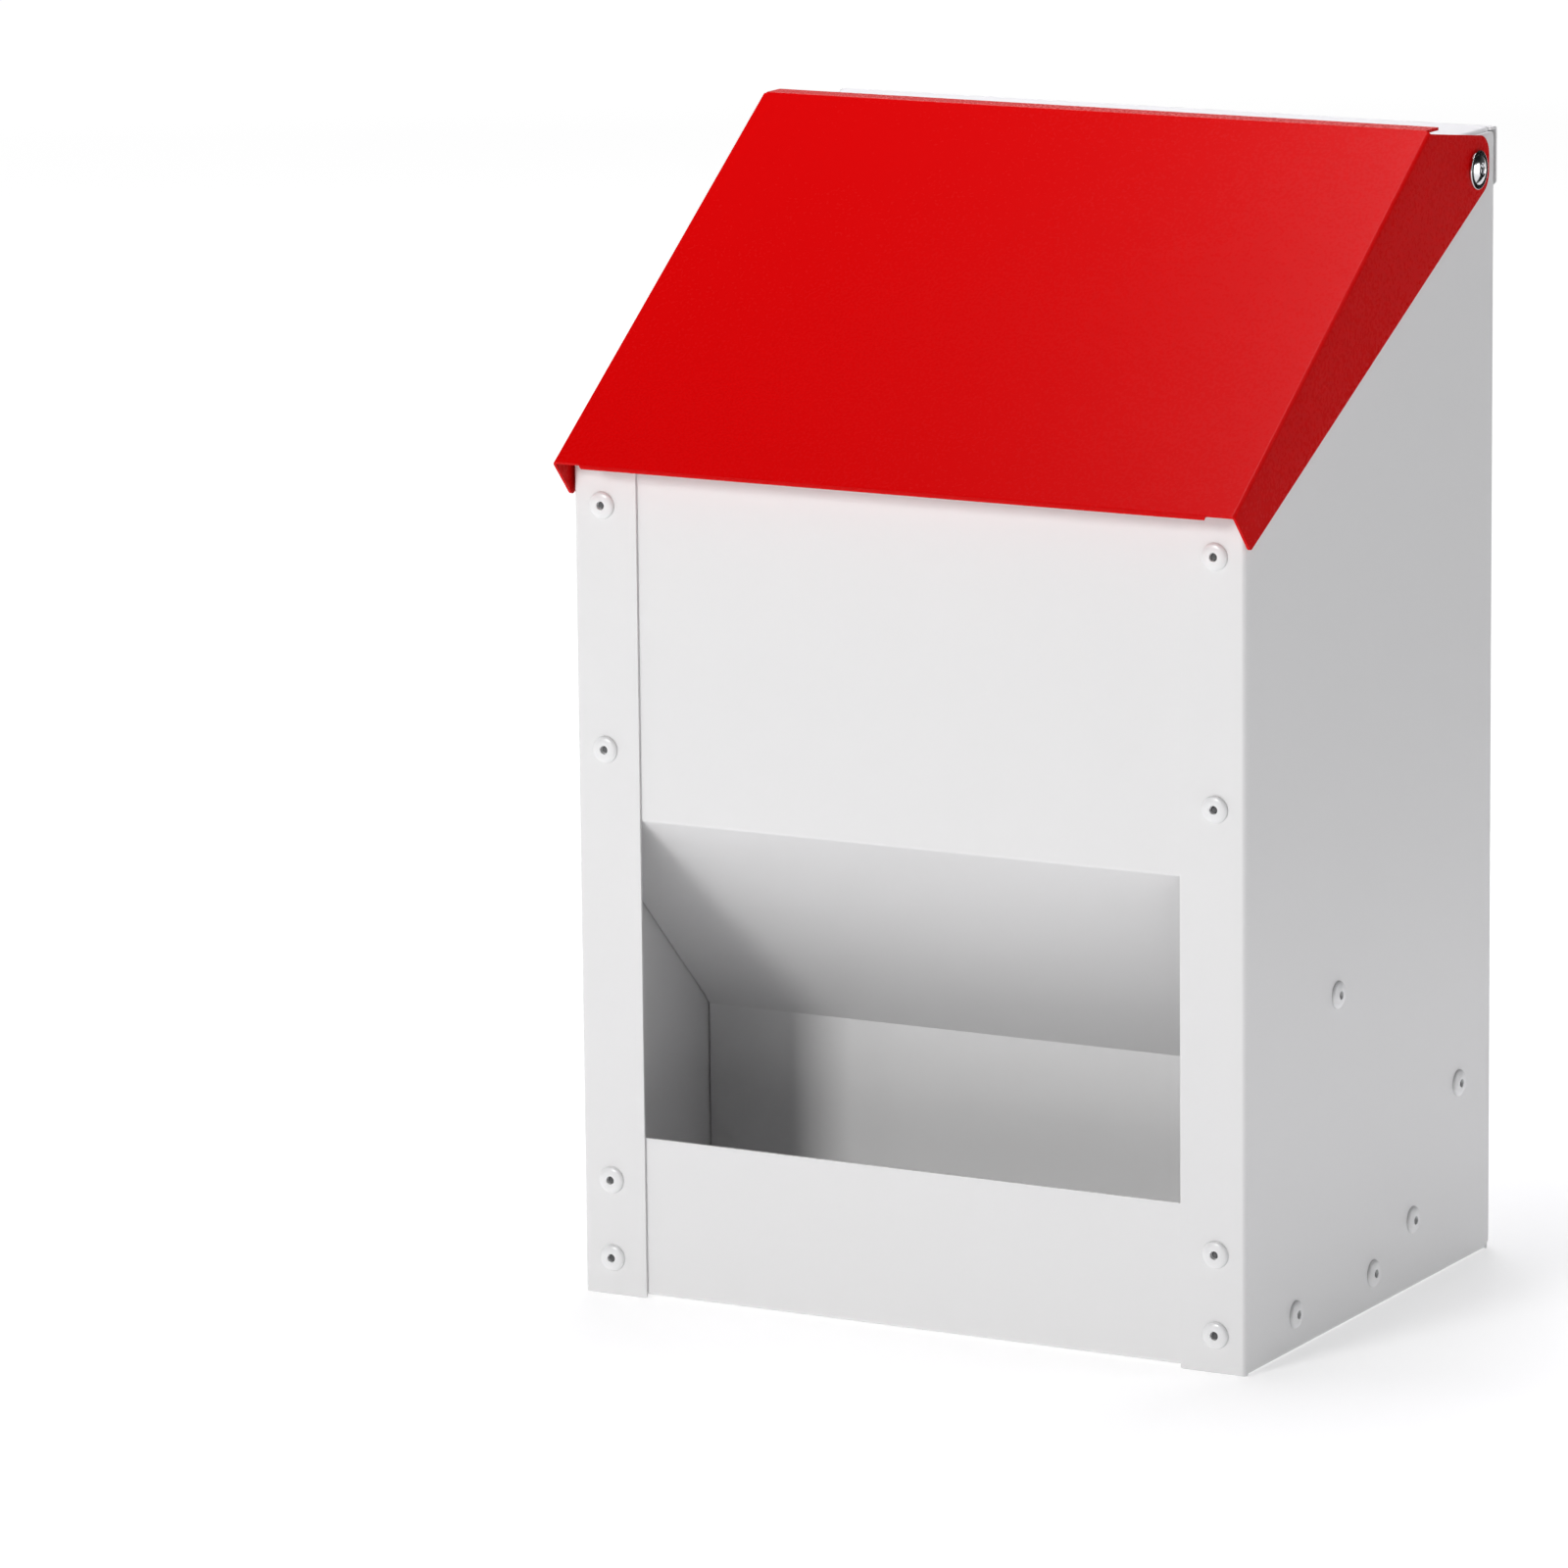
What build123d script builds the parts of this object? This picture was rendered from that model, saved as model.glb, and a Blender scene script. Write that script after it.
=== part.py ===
from build123d import *
import os
from math import asin, cos, radians, sin, tan

# Gravity poultry feeder: a riveted sheet-metal hopper with a hinged sloping lid.
# +X is across the front, +Y runs to the rear, +Z is up, and the floor is z = 0.
# The origin is the middle of the overall footprint, on the floor.

# ---- overall sizes, mm ----
body_width = 255.0          # over the two side panels
body_depth = 195.0          # front posts to rear flanges
body_height = 397.8         # floor to the top of the rear cap
sheet = 1.0                 # every sheet is this thick
bend_inside = 0.5           # inside radius of every fold
seam = 0.05                 # gap between two sheets that are riveted together

# ---- side panels ----
post_width = 24.3           # front flange, which shows as a post
rear_flange_width = 24.3
foot_width = 15.0           # flange that lies on the floor
foot_relief = 2.5           # gap between the foot and the corner folds

# ---- front panel, with its baffle and skirt ----
window_top = 169.0          # lower fold of the front panel
kink_depth = 87.0           # where the baffle meets the skirt, from the front face
kink_height = 85.0
skirt_bottom = 30.0
baffle_flange_start = 14.0  # along the baffle, from the window's fold
baffle_flange_stop = 6.0    # short of the kink

# ---- trough pan ----
lip_height = 57.0
floor_depth = 126.0         # where the floor turns up into the ramp
ramp_angle = 47.5
ramp_rear_gap = 0.6         # ramp's upper edge to the rear flanges
pan_flange_height = 20.0
pan_flange_start = 8.0      # from the lip
flange_mitre = 0.8          # gap between the floor's flange and the ramp's

# ---- back panel and rear cap ----
back_panel_inset = 0.5      # each side, from the side panels' outer faces
cap_under_lid = 2.5         # cap's front edge, ahead of the lid's fold
cap_skirt = 20.6
cap_back_gap = 0.55         # back panel to the cap's rear skirt
cap_leg = 20.6

# ---- lid ----
lid_overhang = 11.6         # nose of the lid, in front of the posts
lid_side_gap = 0.8          # side panel to lid flange
lid_slope = 35.93
lid_rise = 5.2              # lid's level strip above the rear cap
lid_fold_from_rear = 55.5   # where the slope turns into the level strip
lid_strip = 9.5
lid_rest_gap = 0.6          # lid's inside to the sloped edges below it
lid_tip_run = 1.7           # front point of the side flange: up the slope from the front edge,
lid_tip_drop = 17.5         # and square to it
lid_flange_past_pivot = 9.7
lid_flange_below_pivot = 6.0
lid_flange_above_pivot = 10.6
lid_flange_top_drop = 1.3   # flange's upper edge, under the fold
lid_rear_radius = 7.5
lid_tip_radius = 1.5
hem_fold_gap = 0.2
hem_length = 8.0
hem_side_inset = 9.0        # from the lid's side folds
hem_corner = 3.0

# ---- pivots: M6 flanged button-head screws with lock nuts ----
pivot_from_rear = 17.4
pivot_below_top = 12.8
screw_diameter = 6.0
screw_length = 12.0
head_flange_diameter = 13.6
head_flange_thick = 0.8
head_flange_radius = 0.48
head_dome_diameter = 11.2
head_height = 2.2
head_socket_flats = 4.0
head_socket_deep = 1.3
shank_chamfer = 0.6
pivot_clearance = 0.08      # radial, where the lid turns on the screw
head_clearance = 0.15       # head to lid flange
nut_flats = 10.0
nut_height = 6.0
nut_collar = 1.6            # part of the height that holds the locking ring
nut_collar_diameter = 9.0
nut_chamfer = 0.45
nut_collar_radius = 0.7

# ---- blind rivets, 4.8 mm ----
rivet_diameter = 4.8
rivet_hole_gap = 0.05       # radial
rivet_head_diameter = 9.5
rivet_head_height = 1.45
rivet_rim = 0.3
rivet_bore = 2.9
rivet_crown_bow = 0.72      # how full the head's curve is, from 0.5 straight to 1 square
rivet_bulb_swell = 1.0      # radial, beyond the shank
rivet_bulb_height = 3.2
rivet_bulb_taper = 1.1
rivet_bulb_corner = 0.5
rivet_end_step = 0.3
mandrel_diameter = 2.75
mandrel_head_diameter = 4.4
mandrel_head_height = 1.8
mandrel_rim = 0.2
mandrel_break_chamfer = 0.3
mandrel_recess = 0.9        # broken end, below the top of the rivet head
post_rivet_inset = 11.1     # from the outer face of the side panel
pan_rivet_height = 13.2
lip_rivet_drop = 16.0       # below the lip
window_rivet_rise = 24.0    # above the front panel's lower fold
post_rivet_drop = 21.95     # below the post's sloping top
rear_rivet_height = 20.0
rear_rivet_drop = 59.8      # below the cap's top
rear_rivet_count = 4
flange_rivet_line = 11.6    # from the sheet's outer skin, on every side flange
floor_rivet_depth = 38.5
floor_rivet_inset = 26.3    # from the ramp's foot
ramp_rivet_run = 21.0
ramp_rivet_inset = 23.46    # from the ramp's upper edge
baffle_rivet_inset = 33.4   # from the kink

# ---- worked out from the sizes above ----
bend_outside = bend_inside + sheet
cap_proud = 2 * sheet + seam + cap_back_gap  # rear skirt, behind the side panels
half = body_width / 2
web_inside = half - sheet
pan_half = web_inside - seam
plate_half = pan_half - bend_inside   # clears the inside of the post's fold
y_front = -(body_depth + cap_proud - lid_overhang) / 2
y_rear = y_front + body_depth
y_back_panel = y_rear + seam
y_panel = y_front + sheet + seam
z_pan = sheet + seam
post_rivet_x = half - post_rivet_inset
pivot_y = y_rear - pivot_from_rear
pivot_height = body_height - pivot_below_top
slope = radians(lid_slope)
lid_half = half + lid_side_gap + sheet
lid_fold = (y_rear - lid_fold_from_rear, body_height + lid_rise)
lid_to_panels = sheet + lid_rest_gap  # lid's outer skin to the edges it rests over
hem_radius = sheet + hem_fold_gap / 2
rivet_hole = rivet_diameter + 2 * rivet_hole_gap
screw_hole = screw_diameter + 2 * pivot_clearance
past = 5.0                            # how far a cutter runs beyond what it cuts
near = 0.01                           # closer than this counts as the same place
cutter_width = 2 * (lid_half + past)
cap_bend_start = body_height - bend_outside


def lid_skin(y, depth=0.0):
    """Height at y of a line that lies depth below the lid's sloping outer skin."""
    return lid_fold[1] - (lid_fold[0] - y) * tan(slope) - depth / cos(slope)


def unit(start, end):
    return (Vector(*end) - Vector(*start)).normalized()


def left_of(way):
    return Vector(-way.Y, way.X)


def shifted(points, distance):
    """The same open line moved to its left, with mitred corners."""
    ways = [unit(a, b) for a, b in zip(points, points[1:])]
    moved = [Vector(*points[0]) + left_of(ways[0]) * distance]
    for point, before, after in zip(points[1:-1], ways, ways[1:]):
        mitre = left_of(before) + left_of(after)
        moved.append(Vector(*point) + mitre * (2 * distance / mitre.dot(mitre)))
    moved.append(Vector(*points[-1]) + left_of(ways[-1]) * distance)
    return moved


def rounded_line(points, radii):
    return Line(*points) if len(points) == 2 else FilletPolyline(*points, radius=radii)


def folded(points, thick=sheet):
    """Section of a folded sheet: points lie on its right-hand skin, corners are bends."""
    skin = [Vector(*p) for p in points]
    other = shifted(points, thick)
    ways = [unit(a, b) for a, b in zip(points, points[1:])]
    lefts = [before.cross(after).Z > 0 for before, after in zip(ways, ways[1:])]
    skin_radii = [bend_outside if left else bend_inside for left in lefts]
    other_radii = [bend_inside if left else bend_outside for left in lefts]
    return make_face(
        rounded_line(skin, skin_radii)
        + Line(skin[-1], other[-1])
        + rounded_line(other, other_radii)
        + Line(other[0], skin[0])
    )


def straight_strip(start, end):
    return make_face(Polyline(start, end, *reversed(shifted([start, end], sheet)), close=True))


def across(section, width):
    """A side-view section drawn out across the object, centred on x = 0."""
    return extrude(Plane.YZ * section, amount=width / 2, both=True)


def side_outline(points):
    return across(make_face(Polyline(*points, close=True)), cutter_width)


def along(start, end, section):
    """A section drawn from one side-view point to another; its +Y is the left-hand side."""
    way = unit(start, end)
    place = Plane(origin=(0, *start), x_dir=(-1, 0, 0), z_dir=(0, way.X, way.Y))
    length = (Vector(*end) - Vector(*start)).length
    return extrude(place * section, amount=length)


def channel(half_width, height):
    """Section of a sheet with two side flanges that stand up on its +Y side."""
    return folded([(-half_width, height), (-half_width, 0), (half_width, 0), (half_width, height)])


def on_run(start, end, distance, rise=0.0):
    """A point along a run, moved to its left by rise."""
    way = unit(start, end)
    spot = Vector(*start) + way * distance + left_of(way) * rise
    return (spot.X, spot.Y)


# ---- rows of fastener places, as side-view or front-view points ----
window_fold = (y_panel, window_top)
kink = (y_front + kink_depth, kink_height)
pan_corner = (y_panel, z_pan)
ramp_foot = (y_front + floor_depth, z_pan)
ramp_length = (y_rear - sheet - ramp_rear_gap - ramp_foot[0]) / cos(radians(ramp_angle))
ramp_end = (
    ramp_foot[0] + ramp_length * cos(radians(ramp_angle)),
    ramp_foot[1] + ramp_length * sin(radians(ramp_angle)),
)
baffle_length = (Vector(*kink) - Vector(*window_fold)).length
baffle_spots = [on_run(window_fold, kink, baffle_length - baffle_rivet_inset, flange_rivet_line)]
floor_runs = (floor_rivet_depth, floor_depth - floor_rivet_inset)
ramp_runs = (ramp_rivet_run, ramp_length - ramp_rivet_inset)
pan_spots = [(y_front + run, z_pan + flange_rivet_line) for run in floor_runs]
pan_spots += [on_run(ramp_foot, ramp_end, run, flange_rivet_line) for run in ramp_runs]
side_spots = baffle_spots + pan_spots
post_top = lid_skin(y_front, lid_to_panels)
pan_rivet_heights = (pan_rivet_height, lip_height - lip_rivet_drop)
panel_rivet_heights = (window_top + window_rivet_rise, post_top - post_rivet_drop)
front_heights = pan_rivet_heights + panel_rivet_heights
rear_pitch = (body_height - rear_rivet_drop - rear_rivet_height) / (rear_rivet_count - 1)
rear_heights = [rear_rivet_height + step * rear_pitch for step in range(rear_rivet_count)]


def holes_through_sides(spots, diameter):
    places = [Location((0, y, z), (0, 90, 0)) for y, z in spots]
    return [place * Cylinder(diameter / 2, cutter_width) for place in places]


def holes_through_posts(heights, y):
    places = [Location((x, y, z), (90, 0, 0)) for x in (-post_rivet_x, post_rivet_x) for z in heights]
    return [place * Cylinder(rivet_hole / 2, 2 * past) for place in places]


def make_side_panel():
    """Right-hand side panel: web, front post, rear flange and a foot flange."""
    plan = folded([
        (half - post_width, y_front), (half, y_front), (half, y_rear), (half - rear_flange_width, y_rear)
    ])
    wall = extrude(plan, amount=cap_bend_start)
    slope_end = y_front + (cap_bend_start - post_top) / tan(slope)
    outline = [
        (y_front - past, 0), (y_front - past, lid_skin(y_front - past, lid_to_panels)),
        (slope_end, cap_bend_start), (y_rear + past, cap_bend_start), (y_rear + past, 0),
    ]
    wall &= side_outline(outline)
    foot_start, foot_end = y_front + foot_relief, y_rear - foot_relief
    foot_rise = 2 * bend_outside
    wall -= Pos(half, (foot_start + foot_end) / 2, 0) * Box(
        2 * bend_outside + sheet, foot_end - foot_start, 2 * foot_rise
    )
    foot = folded([(-half, foot_rise), (-half, 0), (-half + foot_width, 0)])
    wall += along((foot_start, 0), (foot_end, 0), foot)
    wall -= holes_through_sides(side_spots, rivet_hole)
    wall -= holes_through_sides([(pivot_y, pivot_height)], screw_hole)
    wall -= holes_through_posts(front_heights, y_front)
    wall -= holes_through_posts(rear_heights, y_rear)
    return wall


def make_front_panel():
    """Front panel, baffle and skirt from one sheet, with a rivet flange each side of the baffle."""
    skirt_end = (kink[0], skirt_bottom)
    panel = across(folded([(y_panel, post_top), window_fold, kink, skirt_end]), 2 * plate_half)
    start = on_run(window_fold, kink, baffle_flange_start)
    stop = on_run(window_fold, kink, baffle_length - baffle_flange_stop)
    panel -= across(straight_strip(start, stop), 2 * pan_half)
    panel += along(start, stop, channel(pan_half, pan_flange_height))
    panel -= holes_through_sides(baffle_spots, rivet_hole)
    panel -= holes_through_posts(panel_rivet_heights, y_panel)
    return panel


def make_trough_pan():
    """Lip, floor and rear ramp from one sheet, with rivet flanges along floor and ramp."""
    pan = across(folded([(y_panel, lip_height), pan_corner, ramp_foot, ramp_end]), 2 * plate_half)
    mitre = radians(90 - ramp_angle / 2)
    corner_run = pan_flange_height / tan(mitre)
    floor_start = (y_panel + pan_flange_start, z_pan)
    floor_stop = (ramp_foot[0] - flange_mitre, z_pan)
    ramp_start = on_run(ramp_foot, ramp_end, flange_mitre)
    for start, stop in ((floor_start, floor_stop), (ramp_start, ramp_end)):
        pan -= across(straight_strip(start, stop), 2 * pan_half)
    flanges = along(floor_start, floor_stop, channel(pan_half, pan_flange_height))
    flanges += along(ramp_start, ramp_end, channel(pan_half, pan_flange_height))
    bend_clear = Vector(*ramp_foot) + Vector(0, sheet + bend_outside)
    top = Vector(ramp_foot[0] - corner_run, z_pan + pan_flange_height)
    way = (top - bend_clear).normalized()
    side = left_of(way) * flange_mitre
    far = top + way * past
    wedge = [bend_clear - side, far - side, far + side, bend_clear + side]
    flanges -= side_outline([(p.X, p.Y) for p in wedge])
    pan += flanges
    pan -= holes_through_sides(pan_spots, rivet_hole)
    pan -= holes_through_posts(pan_rivet_heights, y_panel)
    return pan


def make_back_panel():
    height = cap_bend_start - z_pan
    width = body_width - 2 * back_panel_inset
    panel = Pos(0, y_back_panel + sheet / 2, z_pan + height / 2) * Box(width, sheet, height)
    corners = panel.edges().filter_by(Axis.Y)
    panel = fillet(corners, bend_outside)
    panel -= holes_through_posts(rear_heights, y_back_panel)
    return panel


def make_top_cap():
    """Rear cap: level top, a skirt over the back panel and a leg inside each side panel."""
    y_skirt = y_rear + cap_proud
    y_lip_front = y_rear - sheet - bend_outside
    cap = across(
        folded([(y_skirt, body_height - cap_skirt), (y_skirt, body_height), (y_lip_front, body_height)]),
        2 * (half - seam),
    )
    front = lid_fold[0] - cap_under_lid
    cap += along((y_lip_front, body_height), (front, body_height), channel(pan_half, cap_leg))
    cap -= holes_through_sides([(pivot_y, pivot_height)], screw_hole)
    return cap


def make_lid():
    """Lid from one sheet: sloping top, level rear strip, side flanges and a front hem."""
    up = Vector(cos(slope), sin(slope))
    nose_y = y_front - lid_overhang + hem_radius
    nose = Vector(nose_y, lid_skin(nose_y, hem_radius))
    edge = nose + left_of(up) * hem_radius
    front_edge = (edge.X, edge.Y)
    strip_end = (lid_fold[0] + lid_strip, lid_fold[1])
    flat_half = lid_half - 2 * bend_outside
    strip_half = lid_half - bend_outside
    lid = across(folded([strip_end, lid_fold, front_edge]), 2 * flat_half)
    fold_end = on_run(lid_fold, front_edge, 2 * bend_outside)
    lid += across(folded([strip_end, lid_fold, fold_end]), 2 * strip_half)
    lid += make_lid_sides(front_edge)
    lid += make_hem(nose, up, 2 * (lid_half - bend_outside - hem_side_inset))
    lid -= holes_through_sides([(pivot_y, pivot_height)], screw_hole)
    return lid


def make_lid_sides(front_edge):
    """The lid's side flanges and the folds that join them to the top."""
    y_flange_rear = pivot_y + lid_flange_past_pivot
    tip = on_run(front_edge, lid_fold, lid_tip_run, -lid_tip_drop)
    outline = make_face(Polyline(
        front_edge, tip,
        (y_flange_rear, pivot_height - lid_flange_below_pivot),
        (y_flange_rear, pivot_height + lid_flange_above_pivot),
        (lid_fold[0], lid_fold[1] - lid_flange_top_drop), lid_fold, close=True,
    ))
    rear = [v for v in outline.vertices() if abs(v.X - y_flange_rear) < near]
    outline = fillet(rear, lid_rear_radius)
    tip_corner = [v for v in outline.vertices() if abs(v.Y - tip[1]) < near]
    outline = fillet(tip_corner, lid_tip_radius)
    past_rear = (y_flange_rear, lid_skin(y_flange_rear))
    sides = along(past_rear, front_edge, channel(lid_half, body_depth / 2))
    return sides & across(outline, cutter_width)


def make_hem(nose, up, width):
    """Front edge turned back under itself: a half ring and a short flap with cut corners."""
    ring = Circle(hem_radius) - Circle(hem_fold_gap / 2)
    ring &= Pos(-hem_radius, 0) * Rectangle(2 * hem_radius, 4 * hem_radius)
    flap = Pos(hem_length / 2, -(hem_fold_gap + sheet) / 2) * Rectangle(hem_length, sheet)
    place = Plane(origin=(0, nose.X, nose.Y), x_dir=(0, up.X, up.Y), z_dir=(1, 0, 0))
    hem = extrude(place * (ring + flap), amount=width / 2, both=True)
    middle = Vector(0, nose.X, nose.Y) + Vector(0, up.X, up.Y) * hem_length / 2
    flap_end = [e for e in hem.edges() if (e.center() - middle).dot(Vector(0, up.X, up.Y)) > 0]
    corners = [e for e in flap_end if abs(e.length - sheet) < near]
    return chamfer(corners, hem_corner)


def make_screw():
    """M6 flanged button-head screw along +Z: the head's seat is z = 0 and the shank points down."""
    head = Pos(0, 0, head_flange_thick / 2) * Cylinder(head_flange_diameter / 2, head_flange_thick)
    head = fillet(head.edges().group_by(Axis.Z)[-1], head_flange_radius)
    rise = head_height - head_flange_thick / 2
    radius = ((head_dome_diameter / 2) ** 2 + rise ** 2) / (2 * rise)
    ball = Pos(0, 0, head_height - radius) * Sphere(radius)
    middle = Pos(0, 0, head_height - rise / 2)
    head += ball & middle * Box(head_flange_diameter, head_flange_diameter, rise)
    socket = RegularPolygon(head_socket_flats / 2, 6, major_radius=False)
    head -= Pos(0, 0, head_height - head_socket_deep) * extrude(socket, amount=head_height)
    shank = Pos(0, 0, -screw_length / 2) * Cylinder(screw_diameter / 2, screw_length)
    shank = chamfer(shank.edges().group_by(Axis.Z)[0], shank_chamfer)
    return head + shank


def make_nut():
    """M6 lock nut along +Z: its seat is z = 0 and it points down, with a round collar at its end."""
    hex_height = nut_height - nut_collar
    body = extrude(RegularPolygon(nut_flats / 2, 6, major_radius=False), amount=-hex_height)
    taper = Pos(0, 0, -hex_height / 2) * Cylinder(nut_flats / 2 / cos(radians(30)), hex_height)
    taper = chamfer(taper.edges(), nut_chamfer)
    body &= taper
    collar = Pos(0, 0, -hex_height - nut_collar / 2) * Cylinder(nut_collar_diameter / 2, nut_collar)
    body += fillet(collar.edges().group_by(Axis.Z)[0], nut_collar_radius)
    return body - Cylinder(screw_diameter / 2 + seam, 4 * nut_height)


def crown(edge_radius, edge_height, top_height):
    """Round arc from a rim to the axis, square to the axis where it ends."""
    rise = top_height - edge_height
    radius = (edge_radius ** 2 + rise ** 2) / (2 * rise)
    turn = asin(edge_radius / abs(radius)) / 2
    middle = (abs(radius) * sin(turn), top_height - radius + radius * cos(turn))
    return ThreePointArc((edge_radius, edge_height), middle, (0, top_height))


def make_rivet(grip):
    """Set blind rivet along +Z: head above z = 0, shank and formed bulb below."""
    head, shank, bore = rivet_head_diameter / 2, rivet_diameter / 2, rivet_bore / 2
    bulb = shank + rivet_bulb_swell
    low = -grip - rivet_bulb_height
    line = Polyline(
        (bore, rivet_head_height), (bore, low), (shank + rivet_end_step, low),
        (bulb, low + rivet_bulb_taper), (bulb, -grip - rivet_bulb_corner),
        (bulb - rivet_bulb_corner, -grip), (shank, -grip), (shank, 0), (head, 0), (head, rivet_rim),
    )
    crown_middle = ((head + bore) / 2, rivet_rim + rivet_crown_bow * (rivet_head_height - rivet_rim))
    dome = ThreePointArc((head, rivet_rim), crown_middle, (bore, rivet_head_height))
    return revolve(Plane.XZ * make_face(line + dome), Axis.Z)


def make_mandrel(grip):
    """Broken mandrel left inside a set rivet: a pin with its head under the bulb."""
    pin, ball = mandrel_diameter / 2, mandrel_head_diameter / 2
    top = rivet_head_height - mandrel_recess
    seat = -grip - rivet_bulb_height - seam
    low = seat - mandrel_head_height
    rim = seat - mandrel_rim
    cut = mandrel_break_chamfer
    line = Polyline(
        (0, low), (0, top), (pin - cut, top), (pin, top - cut), (pin, seat), (ball, seat), (ball, rim)
    )
    return revolve(Plane.XZ * make_face(line + crown(ball, rim, low)), Axis.Z)


def placed_on_side(piece, sign, face_x, spots):
    """Copies of a +Z piece turned to point out of the left (-1) or right (+1) side."""
    return Compound([Location((sign * face_x, y, z), (0, sign * 90, 0)) * piece for y, z in spots])


def placed_on_front(piece, sign, heights):
    x = sign * post_rivet_x
    return Compound([Location((x, y_front, z), (90, 0, 0)) * piece for z in heights])


def placed_on_rear(piece, sign, heights):
    x = sign * post_rivet_x
    return Compound([Location((x, y_back_panel + sheet, z), (-90, 0, 0)) * piece for z in heights])


grip = 2 * sheet + seam
rivet, mandrel = make_rivet(grip), make_mandrel(grip)
screw, nut = make_screw(), make_nut()
side_panel = make_side_panel()
nut_seat = web_inside - seam - sheet - seam
pivot_spot = [(pivot_y, pivot_height)]

nodes = {
    "front_panel": make_front_panel(),
    "trough_pan": make_trough_pan(),
    "back_panel": make_back_panel(),
    "top_cap": make_top_cap(),
    "lid": make_lid(),
}
for side, sign in (("left", -1), ("right", 1)):
    nodes[side + "_side_panel"] = side_panel if sign > 0 else mirror(side_panel, Plane.YZ)
    nodes[side + "_pivot_screw"] = placed_on_side(screw, sign, lid_half + head_clearance, pivot_spot)
    nodes[side + "_lock_nut"] = placed_on_side(nut, sign, nut_seat, pivot_spot)
    for name, piece in (("rivets", rivet), ("mandrels", mandrel)):
        nodes["front_" + side + "_" + name] = placed_on_front(piece, sign, front_heights)
        nodes["side_" + side + "_" + name] = placed_on_side(piece, sign, half, side_spots)
        nodes["rear_" + side + "_" + name] = placed_on_rear(piece, sign, rear_heights)

os.makedirs("parts", exist_ok=True)
for name, shape in nodes.items():
    export_step(shape, "parts/" + name + ".step")
    box = shape.bounding_box()
    print(name, len(shape.solids()), [round(v, 2) for v in (*box.min, *box.max)])
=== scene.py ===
from math import atan2, ceil, cos, hypot, pi, radians, sin, sqrt, tan

import bmesh
import bpy
from mathutils import Matrix, Vector


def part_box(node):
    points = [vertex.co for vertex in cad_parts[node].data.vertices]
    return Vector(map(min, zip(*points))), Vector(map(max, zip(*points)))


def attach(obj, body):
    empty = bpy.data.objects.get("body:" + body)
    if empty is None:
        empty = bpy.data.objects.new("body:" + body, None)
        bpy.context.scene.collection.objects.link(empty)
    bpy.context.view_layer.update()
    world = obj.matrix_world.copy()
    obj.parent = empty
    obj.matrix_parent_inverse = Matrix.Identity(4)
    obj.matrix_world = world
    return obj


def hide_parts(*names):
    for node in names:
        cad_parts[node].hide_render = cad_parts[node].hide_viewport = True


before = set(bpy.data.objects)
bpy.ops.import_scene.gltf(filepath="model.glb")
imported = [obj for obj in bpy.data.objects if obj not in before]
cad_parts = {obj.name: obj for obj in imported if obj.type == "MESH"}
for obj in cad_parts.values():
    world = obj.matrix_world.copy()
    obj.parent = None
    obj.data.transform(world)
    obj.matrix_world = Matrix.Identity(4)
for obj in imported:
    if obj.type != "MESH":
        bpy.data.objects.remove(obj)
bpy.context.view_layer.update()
print("frame loaded:", len(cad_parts), "nodes")

mm = 0.001
hair = 1e-7     # slack when places along a sheet are compared
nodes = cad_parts

cameraSettings = {
    "place": (1.4314, -2.7616, 0.8094),
    "bearing": 28.98,       # degrees round from straight behind the front
    "tilt": 11.53,          # degrees down
    "roll": -0.62,
    "lens": 210.5,
    "sensor": 36.0,
}


def makeCamera(s):
    data = bpy.data.cameras.new("studioCamera")
    data.lens = s["lens"]
    data.sensor_width = s["sensor"]
    data.clip_end = 60.0
    camera = bpy.data.objects.new("studioCamera", data)
    bpy.context.scene.collection.objects.link(camera)
    turn = (
        Matrix.Rotation(radians(s["bearing"]), 4, "Z")
        @ Matrix.Rotation(radians(90 - s["tilt"]), 4, "X")
        @ Matrix.Rotation(radians(s["roll"]), 4, "Z")
    )
    camera.matrix_world = Matrix.Translation(s["place"]) @ turn
    bpy.context.scene.camera = camera


lightSettings = {
    # name: place, aimed at, width, height, power, colour
    "overheadPanel": ((-0.08, 0.15, 1.42), (-0.08, 0.15, 0.0), 0.5, 0.9, 12.0, (0.96, 0.95, 1.0)),
    "frontKey": ((-1.20, -4.46, 2.08), (0.0, 0.0, 0.2), 1.15, 1.15, 101.0, (1.0, 0.997, 0.99)),
    "sideFill": ((2.10, 0.90, 0.45), (0.0, 0.0, 0.15), 1.2, 0.8, 8.0, (0.97, 0.98, 1.0)),
    "lowFill": ((-0.30, -0.95, 0.10), (0.0, -0.09, 0.07), 0.60, 0.12, 0.35, (1.0, 1.0, 1.0)),
    "rearTop": ((-1.1, 1.9, 1.5), (0.0, 0.0, 0.2), 1.2, 1.2, 8.0, (1.0, 1.0, 1.0)),
    "leftPanel": ((-2.4, -0.6, 1.1), (0.0, 0.0, 0.2), 1.2, 1.2, 7.0, (1.0, 1.0, 1.0)),
    "foldGlint": ((1.06, 0.30, 1.46), (0.12, 0.05, 0.39), 0.14, 0.14, 1.2, (1.0, 1.0, 1.0)),
    "noseGlint": ((-1.43, -2.36, 1.40), (0.0, -0.10, 0.29), 0.15, 0.15, 2.0, (1.0, 1.0, 1.0)),
}
worldSettings = {
    "strength": 0.10,
    "sky": [(0.0, 1.0), (0.54, 1.0), (0.64, 0.12), (1.0, 0.02)],     # by height, down to up
}
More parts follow.
